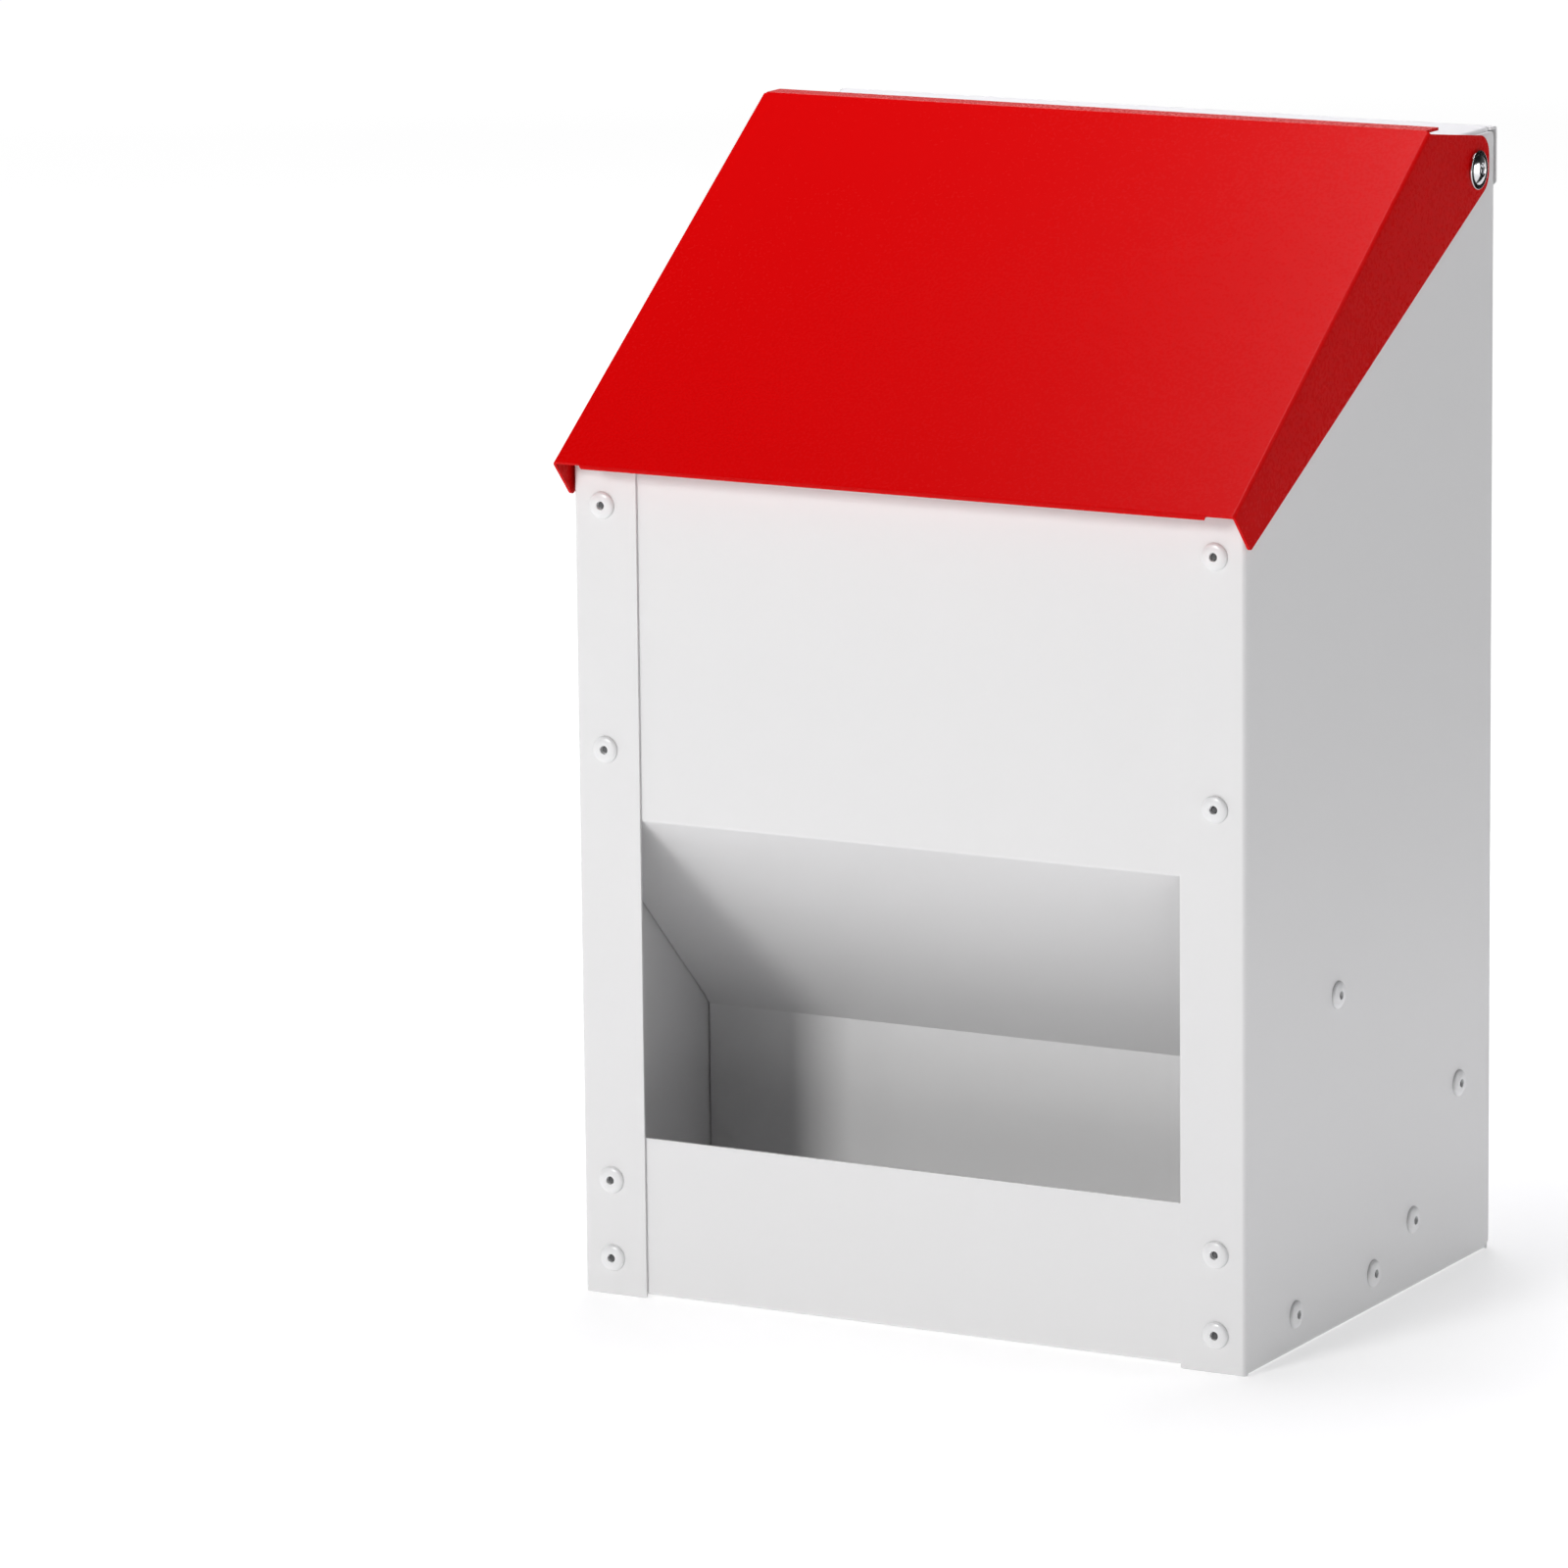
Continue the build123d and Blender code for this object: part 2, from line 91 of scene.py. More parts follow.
floorSettings = {
    "reach": 14.0,
    "drop": 0.05 * mm,      # keeps the paper off the undersides of the feet
    "colour": (0.80, 0.80, 0.80),
    "paler": (0.808, 0.808, 0.808),
    "mottle": 3.0,
    "roughness": 0.6,
    "shine": 0.2,
    # the floor's glow is painted light: it lights the backdrop and the object, weakest near the object
    "glow": 1.0,
    "rings": [(0.30, 0.45), (0.80, 0.57), (1.50, 0.70), (3.50, 0.97)],     # distance, glow there
}


def makeLight(name, place, target, width, height, power, colour):
    data = bpy.data.lights.new(name, "AREA")
    data.shape = "RECTANGLE"
    data.size = width
    data.size_y = height
    data.energy = power
    data.color = colour
    light = bpy.data.objects.new(name, data)
    bpy.context.scene.collection.objects.link(light)
    way = Vector(target) - Vector(place)
    light.matrix_world = Matrix.Translation(place) @ way.to_track_quat("-Z", "Y").to_matrix().to_4x4()


def makeWorld(s):
    # pale near the horizon, dark overhead
    world = bpy.data.worlds.new("studio")
    world.use_nodes = True
    bench = NodeBench(world.node_tree)
    way = bench.add("ShaderNodeTexCoord")
    parts = bench.add("ShaderNodeSeparateXYZ", None, {0: way}, 2)
    stops = [(place, (level, level, level, 1.0)) for place, level in s["sky"]]
    ramp = bench.add("ShaderNodeValToRGB", {"stops": stops}, {0: parts * 0.5 + 0.5})
    sky = bench.add("ShaderNodeBackground", None, {"Color": ramp, "Strength": s["strength"]})
    bench.add("ShaderNodeOutputWorld", None, {"Surface": sky})
    bpy.context.scene.world = world


class Wire:
    # an output socket whose maths is written as ordinary expressions
    def __init__(self, tree, socket):
        self.tree = tree
        self.socket = socket

    def maths(self, operation, first, second=None):
        node = self.tree.nodes.new("ShaderNodeMath")
        node.operation = operation
        for socket, value in zip(node.inputs, (first, second)):
            if value is not None:
                plug(self.tree, socket, value)
        return Wire(self.tree, node.outputs[0])

    def __add__(self, other):
        return self.maths("ADD", self, other)

    def __radd__(self, other):
        return self.maths("ADD", other, self)

    def __sub__(self, other):
        return self.maths("SUBTRACT", self, other)

    def __rsub__(self, other):
        return self.maths("SUBTRACT", other, self)

    def __mul__(self, other):
        return self.maths("MULTIPLY", self, other)

    def __rmul__(self, other):
        return self.maths("MULTIPLY", other, self)

    def __neg__(self):
        return self.maths("MULTIPLY", self, -1.0)

    def __gt__(self, other):
        return self.maths("GREATER_THAN", self, other)


def plug(tree, socket, value):
    if isinstance(value, Wire):
        tree.links.new(value.socket, socket)
    else:
        socket.default_value = value


class NodeBench:
    # adds nodes to one tree
    def __init__(self, tree):
        self.tree = tree
        self.tree.nodes.clear()

    def add(self, kind, settings=None, sockets=None, output=0):
        node = self.tree.nodes.new(kind)
        for key, value in (settings or {}).items():
            if key == "stops":
                setStops(node.color_ramp, value)
            elif key == "items":
                while len(node.index_switch_items) < value:
                    node.index_switch_items.new()
            else:
                setattr(node, key, value)
        for key, value in (sockets or {}).items():
            plug(self.tree, node.inputs[key], value)
        return Wire(self.tree, node.outputs[output]) if len(node.outputs) else node


def setStops(ramp, stops):
    while len(ramp.elements) < len(stops):
        ramp.elements.new(1.0)
    for element, (place, colour) in zip(ramp.elements, stops):
        element.position = place
        element.color = colour


def mixColours(bench, factor, first, second):
    settings = {"data_type": "RGBA"}
    sockets = {"Factor": factor, 6: first, 7: second}
    return bench.add("ShaderNodeMix", settings, sockets, 2)


coatSettings = {
    "whiteCoat": {
        "colour": (0.768, 0.764, 0.764), "tint": (0.752, 0.752, 0.758), "patch": 9.0,
        "roughness": 0.40, "spread": 0.07, "coat": 0.10, "coatRoughness": 0.28,
        "peel": 900.0, "fine": 3200.0, "peelDepth": 0.016 * mm, "index": 1.50,
    },
    "rivetCoat": {
        "colour": (0.79, 0.79, 0.79), "tint": (0.77, 0.775, 0.785), "patch": 60.0,
        "roughness": 0.30, "spread": 0.08, "coat": 0.30, "coatRoughness": 0.18,
        "peel": 1400.0, "fine": 4200.0, "peelDepth": 0.010 * mm, "index": 1.50,
    },
    "redCoat": {
        "colour": (0.600, 0.0012, 0.0016), "tint": (0.560, 0.0008, 0.0012), "patch": 7.0,
        "roughness": 0.27, "spread": 0.06, "coat": 0.0, "coatRoughness": 0.18,
        "peel": 800.0, "fine": 3000.0, "peelDepth": 0.012 * mm, "index": 1.14,
    },
}


def startMaterial(name):
    material = bpy.data.materials.new(name)
    material.use_nodes = True
    return material, NodeBench(material.node_tree)


def powderCoat(name, s):
    # sprayed and baked paint: faint clouding, a fine orange peel and a thin glossy top
    material, bench = startMaterial(name)
    where = bench.add("ShaderNodeTexCoord", output=3)
    cloud = bench.add("ShaderNodeTexNoise", None, {"Vector": where, "Scale": s["patch"], "Detail": 3.0})
    peel = bench.add("ShaderNodeTexNoise", None, {"Vector": where, "Scale": s["peel"], "Detail": 2.0})
    fine = bench.add("ShaderNodeTexNoise", None, {"Vector": where, "Scale": s["fine"], "Detail": 1.0})
    grain = peel * 0.7 + fine * 0.3
    colour = mixColours(bench, cloud * 0.8 + fine * 0.2, (*s["colour"], 1.0), (*s["tint"], 1.0))
    bump = bench.add("ShaderNodeBump", None, {"Height": grain, "Distance": s["peelDepth"]})
    shader = bench.add("ShaderNodeBsdfPrincipled", None, {
        "Base Color": colour,
        "Roughness": (cloud + peel - 1.0) * s["spread"] + s["roughness"],
        "Coat Weight": s["coat"],
        "Coat Roughness": s["coatRoughness"],
        "IOR": s["index"],
        "Normal": bump,
    })
    bench.add("ShaderNodeOutputMaterial", None, {"Surface": shader})
    return material


steelSettings = {
    "brightSteel": {
        "light": (0.74, 0.74, 0.75), "dark": (0.62, 0.625, 0.64), "roughness": 0.13, "spread": 0.08,
        "stain": 390.0, "streak": 2600.0, "depth": 0.003 * mm,
    },
    "mandrelSteel": {
        "light": (0.16, 0.16, 0.165), "dark": (0.05, 0.05, 0.052), "roughness": 0.48, "spread": 0.2,
        "stain": 780.0, "streak": 5200.0, "depth": 0.03 * mm,
    },
}


def bareSteel(name, s):
    # turned steel: fine grain, small stains and an uneven shine
    material, bench = startMaterial(name)
    where = bench.add("ShaderNodeTexCoord", output=3)
    stain = bench.add("ShaderNodeTexNoise", None, {"Vector": where, "Scale": s["stain"], "Detail": 4.0})
    grain = bench.add("ShaderNodeTexNoise", None, {"Vector": where, "Scale": s["streak"], "Detail": 3.0})
    colour = mixColours(bench, stain, (*s["light"], 1.0), (*s["dark"], 1.0))
    bump = bench.add("ShaderNodeBump", None, {"Height": grain, "Distance": s["depth"]})
    shader = bench.add("ShaderNodeBsdfPrincipled", None, {
        "Base Color": colour, "Metallic": 1.0,
        "Roughness": (stain - 0.5) * s["spread"] + s["roughness"],
        "Normal": bump,
    })
    bench.add("ShaderNodeOutputMaterial", None, {"Surface": shader})
    return material


def floorMaterial(s):
    # matt paper sweep with a barely visible mottle; it also glows as painted light, dim near the object and
    # brighter away from it, which whitens the backdrop and lights the object from below
    material, bench = startMaterial("floorPaper")
    where = bench.add("ShaderNodeTexCoord", output=3)
    mottle = bench.add("ShaderNodeTexNoise", None, {"Vector": where, "Scale": s["mottle"], "Detail": 2.0})
    colour = mixColours(bench, mottle, (*s["colour"], 1.0), (*s["paler"], 1.0))
    away = bench.add("ShaderNodeVectorMath", {"operation": "LENGTH"}, {0: where}, 1)
    widest = s["rings"][-1][0]
    stops = [(distance / widest, (level, level, level, 1.0)) for distance, level in s["rings"]]
    # painted light: the floor's glow, rising with distance from the object
    glow = bench.add("ShaderNodeValToRGB", {"stops": stops}, {0: away * (1.0 / widest)})
    shader = bench.add("ShaderNodeBsdfPrincipled", None, {
        "Base Color": colour,
        "Roughness": s["roughness"],
        "Specular IOR Level": s["shine"],
        "Emission Color": glow,
        "Emission Strength": s["glow"],
    })
    bench.add("ShaderNodeOutputMaterial", None, {"Surface": shader})
    return material


def makeStageSheet(name, corners, material):
    mesh = bpy.data.meshes.new(name)
    mesh.from_pydata(corners, [], [(0, 1, 2, 3)])
    mesh.materials.append(material)
    sheet = bpy.data.objects.new(name, mesh)
    bpy.context.scene.collection.objects.link(sheet)
    return sheet


def makeFloor(s):
    r, z = s["reach"], -s["drop"]
    makeStageSheet("floor", [(-r, -r, z), (r, -r, z), (r, r, z), (-r, r, z)], floorMaterial(s))


cardSettings = {
    # black card, out of shot, that the object's right side mirrors
    "x": 0.45,
    "near": 0.38,
    "far": 1.10,
    "low": 0.0,
    "high": 0.42,
    "colour": (0.004, 0.004, 0.004),
}


def makeCard(s):
    x, near, far, low, high = (s[key] for key in ("x", "near", "far", "low", "high"))
    material, bench = startMaterial("blackCard")
    shader = bench.add("ShaderNodeBsdfDiffuse", None, {"Color": (*s["colour"], 1.0)})
    bench.add("ShaderNodeOutputMaterial", None, {"Surface": shader})
    corners = [(x, near, low), (x, near, high), (x, far, high), (x, far, low)]
    card = makeStageSheet("blackCard", corners, material)
    card.visible_camera = False


makeCamera(cameraSettings)
makeWorld(worldSettings)
for lightName, lightValues in lightSettings.items():
    makeLight(lightName, *lightValues)
makeFloor(floorSettings)
makeCard(cardSettings)
coats = {name: powderCoat(name, s) for name, s in coatSettings.items()}
steels = {name: bareSteel(name, s) for name, s in steelSettings.items()}
print("camera, lights, floor, card and materials made")


# folded sheet metal, built on the middle of its thickness

sheetMetal = {
    "thickness": 1.0 * mm,
    "bendInside": 0.5 * mm,
    "bendSteps": 8,
    "cell": 30.0 * mm,      # longest mesh cell on a flat
    "notch": 0.3 * mm,      # relief cut beside each side flange
    "edgeRound": 0.2 * mm,
    "edgeSteps": 2,
    "edgeAngle": 50.0,      # sharper edges than this are rounded
    "cornerSteps": 5,
    "cornerReach": 0.3 * mm,    # how near a vertex lies to a corner that is rounded
}
thick = sheetMetal["thickness"]
bendMiddle = sheetMetal["bendInside"] + thick / 2
bendOutside = sheetMetal["bendInside"] + thick


class Station:
    # one place along a folded line: its point, its way forward, its left, and the run it is on
    def __init__(self, point, way, run, distance):
        self.point, self.way, self.run, self.distance = point, way, run, distance
        self.left = Vector((-way.y, way.x))

    def at(self, rise, slide=0.0):
        return self.point + self.left * rise + self.way * slide


def evenly(start, stop, cell=None):
    count = max(1, ceil(abs(stop - start) / (cell or sheetMetal["cell"]) - 1e-6))
    return [start + (stop - start) * i / count for i in range(count + 1)]


def foldedStations(corners, marks=None):
    # corners lie on the right-hand skin; marks gives extra distances along a run, by its number
    corners = [Vector(c) for c in corners]
    ways = [(b - a).normalized() for a, b in zip(corners, corners[1:])]
    turns = [a.cross(b) for a, b in zip(ways, ways[1:])]
    skinRadii = [bendOutside if turn > 0 else sheetMetal["bendInside"] for turn in turns]
    angles = [abs(atan2(turn, a.dot(b))) for turn, a, b in zip(turns, ways, ways[1:])]
    tangents = [r * tan(angle / 2) for r, angle in zip(skinRadii, angles)]
    stations = []
    for run, way in enumerate(ways):
        length = (corners[run + 1] - corners[run]).length
        first = tangents[run - 1] if run > 0 else 0.0
        last = length - (tangents[run] if run < len(tangents) else 0.0)
        stops = sorted({first, last, *[d for d in (marks or {}).get(run, []) if first < d < last]})
        distances = [first]
        for a, b in zip(stops, stops[1:]):
            distances += evenly(a, b)[1:]
        for distance in distances:
            station = Station(corners[run] + way * distance, way, run, distance)
            station.point = station.at(thick / 2)
            stations.append(station)
        if run < len(tangents):
            stations += bendStations(stations[-1], turns[run], angles[run], run, length)
    return stations


def bendStations(before, turn, angle, run, length):
    side = 1.0 if turn > 0 else -1.0
    centre = before.at(side * bendMiddle)
    steps = max(2, round(sheetMetal["bendSteps"] * angle / (pi / 2)))
    bend = []
    for i in range(1, steps):
        part = side * angle * i / steps
        way = Vector((
            before.way.x * cos(part) - before.way.y * sin(part),
            before.way.x * sin(part) + before.way.y * cos(part),
        ))
        station = Station(centre, way, run + 0.5, length)
        station.point = station.at(-side * bendMiddle)
        bend.append(station)
    return bend


def quarterBend(reach, rise):
    # columns of a side flange as (out, up) from the end of the flat, to a flange rise high
    steps = sheetMetal["bendSteps"]
    turn = [i / steps * pi / 2 for i in range(1, steps + 1)]
    bend = [(reach + bendMiddle * sin(a), bendMiddle * (1 - cos(a))) for a in turn]
    return bend + [(reach + bendMiddle, rise - thick / 2)]


class SheetMesh:
    # collects shared vertices by key, then faces over them
    def __init__(self):
        self.points, self.keys, self.faces = [], {}, []

    def vertex(self, key, point):
        if key not in self.keys:
            self.keys[key] = len(self.points)
            self.points.append(tuple(point))
        return self.keys[key]

    def face(self, *corners):
        loop = [c for i, c in enumerate(corners) if c != corners[i - 1]]
        if len(loop) > 2:
            self.faces.append(loop)


def crossColumns(flatHalf, edgeHalf, flange=()):
    # half the columns across a sheet, from the middle out: flat, bare edge and side flange
    flat = [(x, 0.0, "flat") for x in evenly(0.0, flatHalf)]
    edge = [(flatHalf, 0.0, "flat"), (edgeHalf, 0.0, "edge")]
    side = [(flatHalf, 0.0, "flat")] + [(x, rise, "flange") for x, rise in flange]
    return flat, edge, side


def inStretch(a, b, stretch, spare=0.0):
    run, start, stop = stretch[:3]
    low, high = start - spare - hair, stop + spare + hair
    return a.run == b.run == run and low <= a.distance and b.distance <= high


def foldedSheet(corners, edgeHalf, flangeHalf, flangeRise, stretches):
    # side view drawn out across, with flanges at both sides over the given stretches of its runs:
    # a stretch is (run, start, stop, lean at start, lean at stop)
    notch = sheetMetal["notch"]
    marks = {}
    for run, start, stop, *_ in stretches:
        marks.setdefault(run, []).extend([start - notch, start, stop, stop + notch])
    stations = foldedStations(corners, marks)
    flatHalf = flangeHalf - bendOutside
    flat, edge, side = crossColumns(flatHalf, edgeHalf, quarterBend(flatHalf, flangeRise))
    sheet = SheetMesh()

    def spot(i, column, sign):
        station, (x, rise, tag) = stations[i], column
        slide = 0.0
        for run, start, stop, leanStart, leanStop in stretches:
            if tag == "flange" and station.run == run:
                if abs(station.distance - start) < hair:
                    slide = leanStart * rise
                if abs(station.distance - stop) < hair:
                    slide = leanStop * rise
        place = station.at(rise, slide)
        key = (i, tag, round(sign * x, 7), round(rise, 7))
        return sheet.vertex(key, (sign * x, place.x, place.y))

    def strip(i, columns, sign):
        for a, b in zip(columns, columns[1:]):
            ring = [spot(i, a, sign), spot(i + 1, a, sign), spot(i + 1, b, sign), spot(i, b, sign)]
            sheet.face(*(ring if sign > 0 else reversed(ring)))

    for i, (a, b) in enumerate(zip(stations, stations[1:])):
        flanged = any(inStretch(a, b, s) for s in stretches)
        nearFlange = any(inStretch(a, b, s, notch) for s in stretches)
        between = a.run != b.run and relieved(a, b, stretches)
        for sign in (1.0, -1.0):
            strip(i, flat, sign)
            if flanged:
                strip(i, side, sign)
            elif not nearFlange and not between and edgeHalf > flatHalf:
                strip(i, edge, sign)
    return sheet


def relieved(a, b, stretches):
    # true in a bend that has flanges ending close to it on both sides
    turnOf = {s[0] for s in stretches}
    low, high = int(min(a.run, b.run)), int(max(a.run, b.run) + 0.5)
    return low in turnOf and high in turnOf and high > low


def finishPiece(name, sheet, material, body, replaced, corners=()):
    mesh = bpy.data.meshes.new(name)
    mesh.from_pydata(sheet.points, [], sheet.faces)
    tidyMesh(mesh, corners)
    piece = bpy.data.objects.new(name, mesh)
    bpy.context.scene.collection.objects.link(piece)
    wall = piece.modifiers.new("sheetThickness", "SOLIDIFY")
    wall.thickness = thick
    wall.offset = 0.0
    wall.use_even_offset = True
    rounding = piece.modifiers.new("roundedEdges", "BEVEL")
    rounding.width = sheetMetal["edgeRound"]
    rounding.segments = sheetMetal["edgeSteps"]
    rounding.limit_method = "ANGLE"
    rounding.angle_limit = radians(sheetMetal["edgeAngle"])
    rounding.miter_outer = "MITER_ARC"
    shading = piece.modifiers.new("flatShading", "WEIGHTED_NORMAL")
    shading.weight = 80
    dressPiece(piece, material, body, replaced)


def finishWhiteSheet(name, sheet, replaced, corners=()):
    finishPiece(name, sheet, coats["whiteCoat"], "cabinet", [replaced], corners)


def tidyMesh(mesh, corners):
    # rounds the named corners, then makes the faces agree
    build = bmesh.new()
    build.from_mesh(mesh)
    for place, radius in corners:
        near = [v for v in build.verts if (v.co - Vector(place)).length < sheetMetal["cornerReach"]]
        bmesh.ops.bevel(
            build, geom=near, offset=radius, offset_type="OFFSET",
            segments=sheetMetal["cornerSteps"], profile=0.5, affect="VERTICES",
        )
    bmesh.ops.recalc_face_normals(build, faces=build.faces)
    for face in build.faces:
        face.smooth = True
    build.to_mesh(mesh)
    build.free()


def dressPiece(piece, material, body, replaced):
    piece.data.materials.clear()
    piece.data.materials.append(material)
    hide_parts(*replaced)
    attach(piece, body)


# sizes shared by the panels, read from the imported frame

rightLow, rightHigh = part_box("right_side_panel")
panelLow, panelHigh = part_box("front_panel")
troughLow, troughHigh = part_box("trough_pan")
backLow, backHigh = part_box("back_panel")
capLow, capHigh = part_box("top_cap")
lidLow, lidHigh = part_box("lid")
half = rightHigh.x
frontY, rearY = rightLow.y, rightHigh.y
plateHalf = troughHigh.x - sheetMetal["bendInside"]

# side panels: web, front post, rear flange and foot

sideSettings = {
    "footWidth": 15.0 * mm,
    "footRelief": 2.5 * mm,
    "postCorner": 0.8 * mm,
    "lidSlope": 35.93,
    "rows": 12,
}


def makeSidePanel(sign, name, replaced, s):
    postWidth = half - rightLow.x
    topZ, slopeTopZ = rightHigh.z, panelHigh.z
    slopeEnd = frontY + (topZ - slopeTopZ) / tan(radians(s["lidSlope"]))
    footStart, footEnd = frontY + s["footRelief"], rearY - s["footRelief"]
    notch = sheetMetal["notch"]
    plan = [(half - postWidth, frontY), (half, frontY), (half, rearY), (half - postWidth, rearY)]
    webMarks = (footStart - notch, footStart, slopeEnd, footEnd, footEnd + notch)
    stations = foldedStations(plan, {1: [mark - frontY for mark in webMarks]})
    rows = s["rows"]
    foot = footProfile(s["footWidth"])
    sheet = SheetMesh()

    def topAt(y):
        return min(topZ, slopeTopZ + (y - frontY) * tan(radians(s["lidSlope"])))

    def spot(i, row):
        place = stations[i].point
        z = bendOutside + (topAt(place.y) - bendOutside) * row / rows
        return sheet.vertex((i, row), (sign * place.x, place.y, z))

    def floorSpot(i):
        place = stations[i].point
        return sheet.vertex((i, "floor"), (sign * place.x, place.y, 0.0))

    def footSpot(i, k):
        if k == 0:
            return spot(i, 0)
        x, z = foot[k]
        return sheet.vertex((i, "foot", k), (sign * x, stations[i].point.y, z))

    def onWeb(a, b, start, stop):
        return a.run == b.run == 1 and a.point.y > start - hair and b.point.y < stop + hair

    for i, (a, b) in enumerate(zip(stations, stations[1:])):
        for row in range(rows):
            sheet.face(spot(i, row), spot(i + 1, row), spot(i + 1, row + 1), spot(i, row + 1))
        if onWeb(a, b, footStart, footEnd):
            for k in range(len(foot) - 1):
                ring = footSpot(i, k + 1), footSpot(i + 1, k + 1), footSpot(i + 1, k), footSpot(i, k)
                sheet.face(*ring)
        elif not onWeb(a, b, footStart - notch, footEnd + notch):
            sheet.face(floorSpot(i), floorSpot(i + 1), spot(i + 1, 0), spot(i, 0))
    postCorner = (sign * (half - postWidth), frontY + thick / 2, 0.0)
    finishWhiteSheet(name, sheet, replaced, [(postCorner, s["postCorner"])])


def footProfile(width):
    # (x, z) from the web's lower edge, round a quarter bend, to the foot's inner edge
    steps = sheetMetal["bendSteps"]
    angles = [i / steps * pi / 2 for i in range(1, steps + 1)]
    webX = half - thick / 2
    bend = [(webX - bendMiddle * (1 - cos(a)), bendOutside - bendMiddle * sin(a)) for a in angles]
    return [(webX, bendOutside), *bend, (half - width, thick / 2)]


for sideName, sign in (("left", -1.0), ("right", 1.0)):
    makeSidePanel(sign, sideName + "SidePanel", sideName + "_side_panel", sideSettings)
print("side panels made")

# front panel, folded back into the baffle and down into the skirt

frontSettings = {
    "windowTop": 169.0 * mm,
    "kinkDepth": 87.0 * mm,     # from the posts' front
    "kinkHeight": 85.0 * mm,
    "flangeRise": 20.0 * mm,
    "flangeStart": 14.0 * mm,
    "flangeStop": 6.0 * mm,
    "flangeLean": 0.35,         # slide of a flange's ends for each unit of its rise
}


def makeFrontPanel(s):
    panelY = panelLow.y
    kink = (frontY + s["kinkDepth"], s["kinkHeight"])
    corners = [(panelY, panelHigh.z), (panelY, s["windowTop"]), kink, (kink[0], panelLow.z)]
    baffle = hypot(kink[0] - panelY, s["windowTop"] - kink[1])
    lean = s["flangeLean"]
    stretches = [(1, s["flangeStart"], baffle - s["flangeStop"], lean, -lean)]
    sheet = foldedSheet(corners, plateHalf, panelHigh.x, s["flangeRise"], stretches)
    finishWhiteSheet("frontPanel", sheet, "front_panel")


makeFrontPanel(frontSettings)

# trough pan: lip, floor and the ramp behind it

panSettings = {
    "lipHeight": 57.0 * mm,
    "floorDepth": 126.0 * mm,   # from the posts' front to the ramp's foot
    "rampAngle": 47.5,
    "flangeRise": 20.0 * mm,
    "flangeStart": 8.0 * mm,
    "mitreGap": 0.8 * mm,
}


def makeTroughPan(s):
    lipY, floorZ = troughLow.y, troughLow.z
    footY = frontY + s["floorDepth"]
    angle = radians(s["rampAngle"])
    rampRun = (troughHigh.y - footY) / cos(angle)
    rampEnd = (troughHigh.y, floorZ + rampRun * sin(angle))
    corners = [(lipY, s["lipHeight"]), (lipY, floorZ), (footY, floorZ), rampEnd]
    lean = tan(angle / 2)
    gap = s["mitreGap"]
    stretches = [
        (1, s["flangeStart"], footY - lipY - gap, 0.0, -lean),
        (2, gap, rampRun, lean, 0.0),
    ]
    sheet = foldedSheet(corners, plateHalf, troughHigh.x, s["flangeRise"], stretches)
    finishWhiteSheet("troughPan", sheet, "trough_pan")


makeTroughPan(panSettings)
print("front panel and trough pan made")


# back panel: a flat sheet with rounded corners, and the cap that covers its top

def makeBackPanel():
    y = (backLow.y + backHigh.y) / 2
    sheet = SheetMesh()
    columns, rows = evenly(backLow.x, backHigh.x), evenly(backLow.z, backHigh.z)
    for i, (x0, x1) in enumerate(zip(columns, columns[1:])):
        for k, (z0, z1) in enumerate(zip(rows, rows[1:])):
            ring = [(i, k, x0, z0), (i + 1, k, x1, z0), (i + 1, k + 1, x1, z1), (i, k + 1, x0, z1)]
            sheet.face(*[sheet.vertex((a, b), (x, y, z)) for a, b, x, z in ring])
    sides, ends = (backLow.x, backHigh.x), (backLow.z, backHigh.z)
    corners = [((x, y, z), bendOutside) for x in sides for z in ends]
    finishWhiteSheet("backPanel", sheet, "back_panel", corners)


capSettings = {
    "legInset": 1.0 * mm,
    "legRise": 20.6 * mm,
    "legStart": 5.1 * mm,
    "skirtCorner": 1.6 * mm,
}


def makeTopCap(s):
    corners = [(capHigh.y, capLow.z), (capHigh.y, capHigh.z), (capLow.y, capHigh.z)]
    stretches = [(1, s["legStart"], capHigh.y - capLow.y, 0.0, 0.0)]
    sheet = foldedSheet(corners, capHigh.x, capHigh.x - s["legInset"], s["legRise"], stretches)
    skirtY = capHigh.y - thick / 2
    rounded = [((x, skirtY, capLow.z), s["skirtCorner"]) for x in (capLow.x, capHigh.x)]
    finishWhiteSheet("topCap", sheet, "top_cap", rounded)


makeBackPanel()
makeTopCap(capSettings)
print("back panel and cap made")

# lid: slope, level strip, side flanges and a front hem

lidSettings = {
    "slope": 35.93,
    "foldFromRear": 55.5 * mm,
    "strip": 9.5 * mm,
    "flangeStart": 0.5 * mm,    # down the slope from the fold
    "hemRadius": 1.1 * mm,
    "hemSteps": 12,
    "hemInset": 9.0 * mm,       # from the side folds
    "hemTaper": 1.2 * mm,
    "hemLength": 8.0 * mm,
    "hemCorner": 3.0 * mm,
    "hemCell": 0.2 * mm,        # narrowest column at the flap's ends
    "tipRun": 1.7 * mm,
    "tipDrop": 17.5 * mm,
    "tipRadius": 1.5 * mm,
    "rearLow": 379.0 * mm,
    "rearHigh": 395.6 * mm,
    "rearRadius": 7.5 * mm,
    "topDrop": 1.3 * mm,
    "topStart": 0.3 * mm,       # behind the first point of the side bend
}


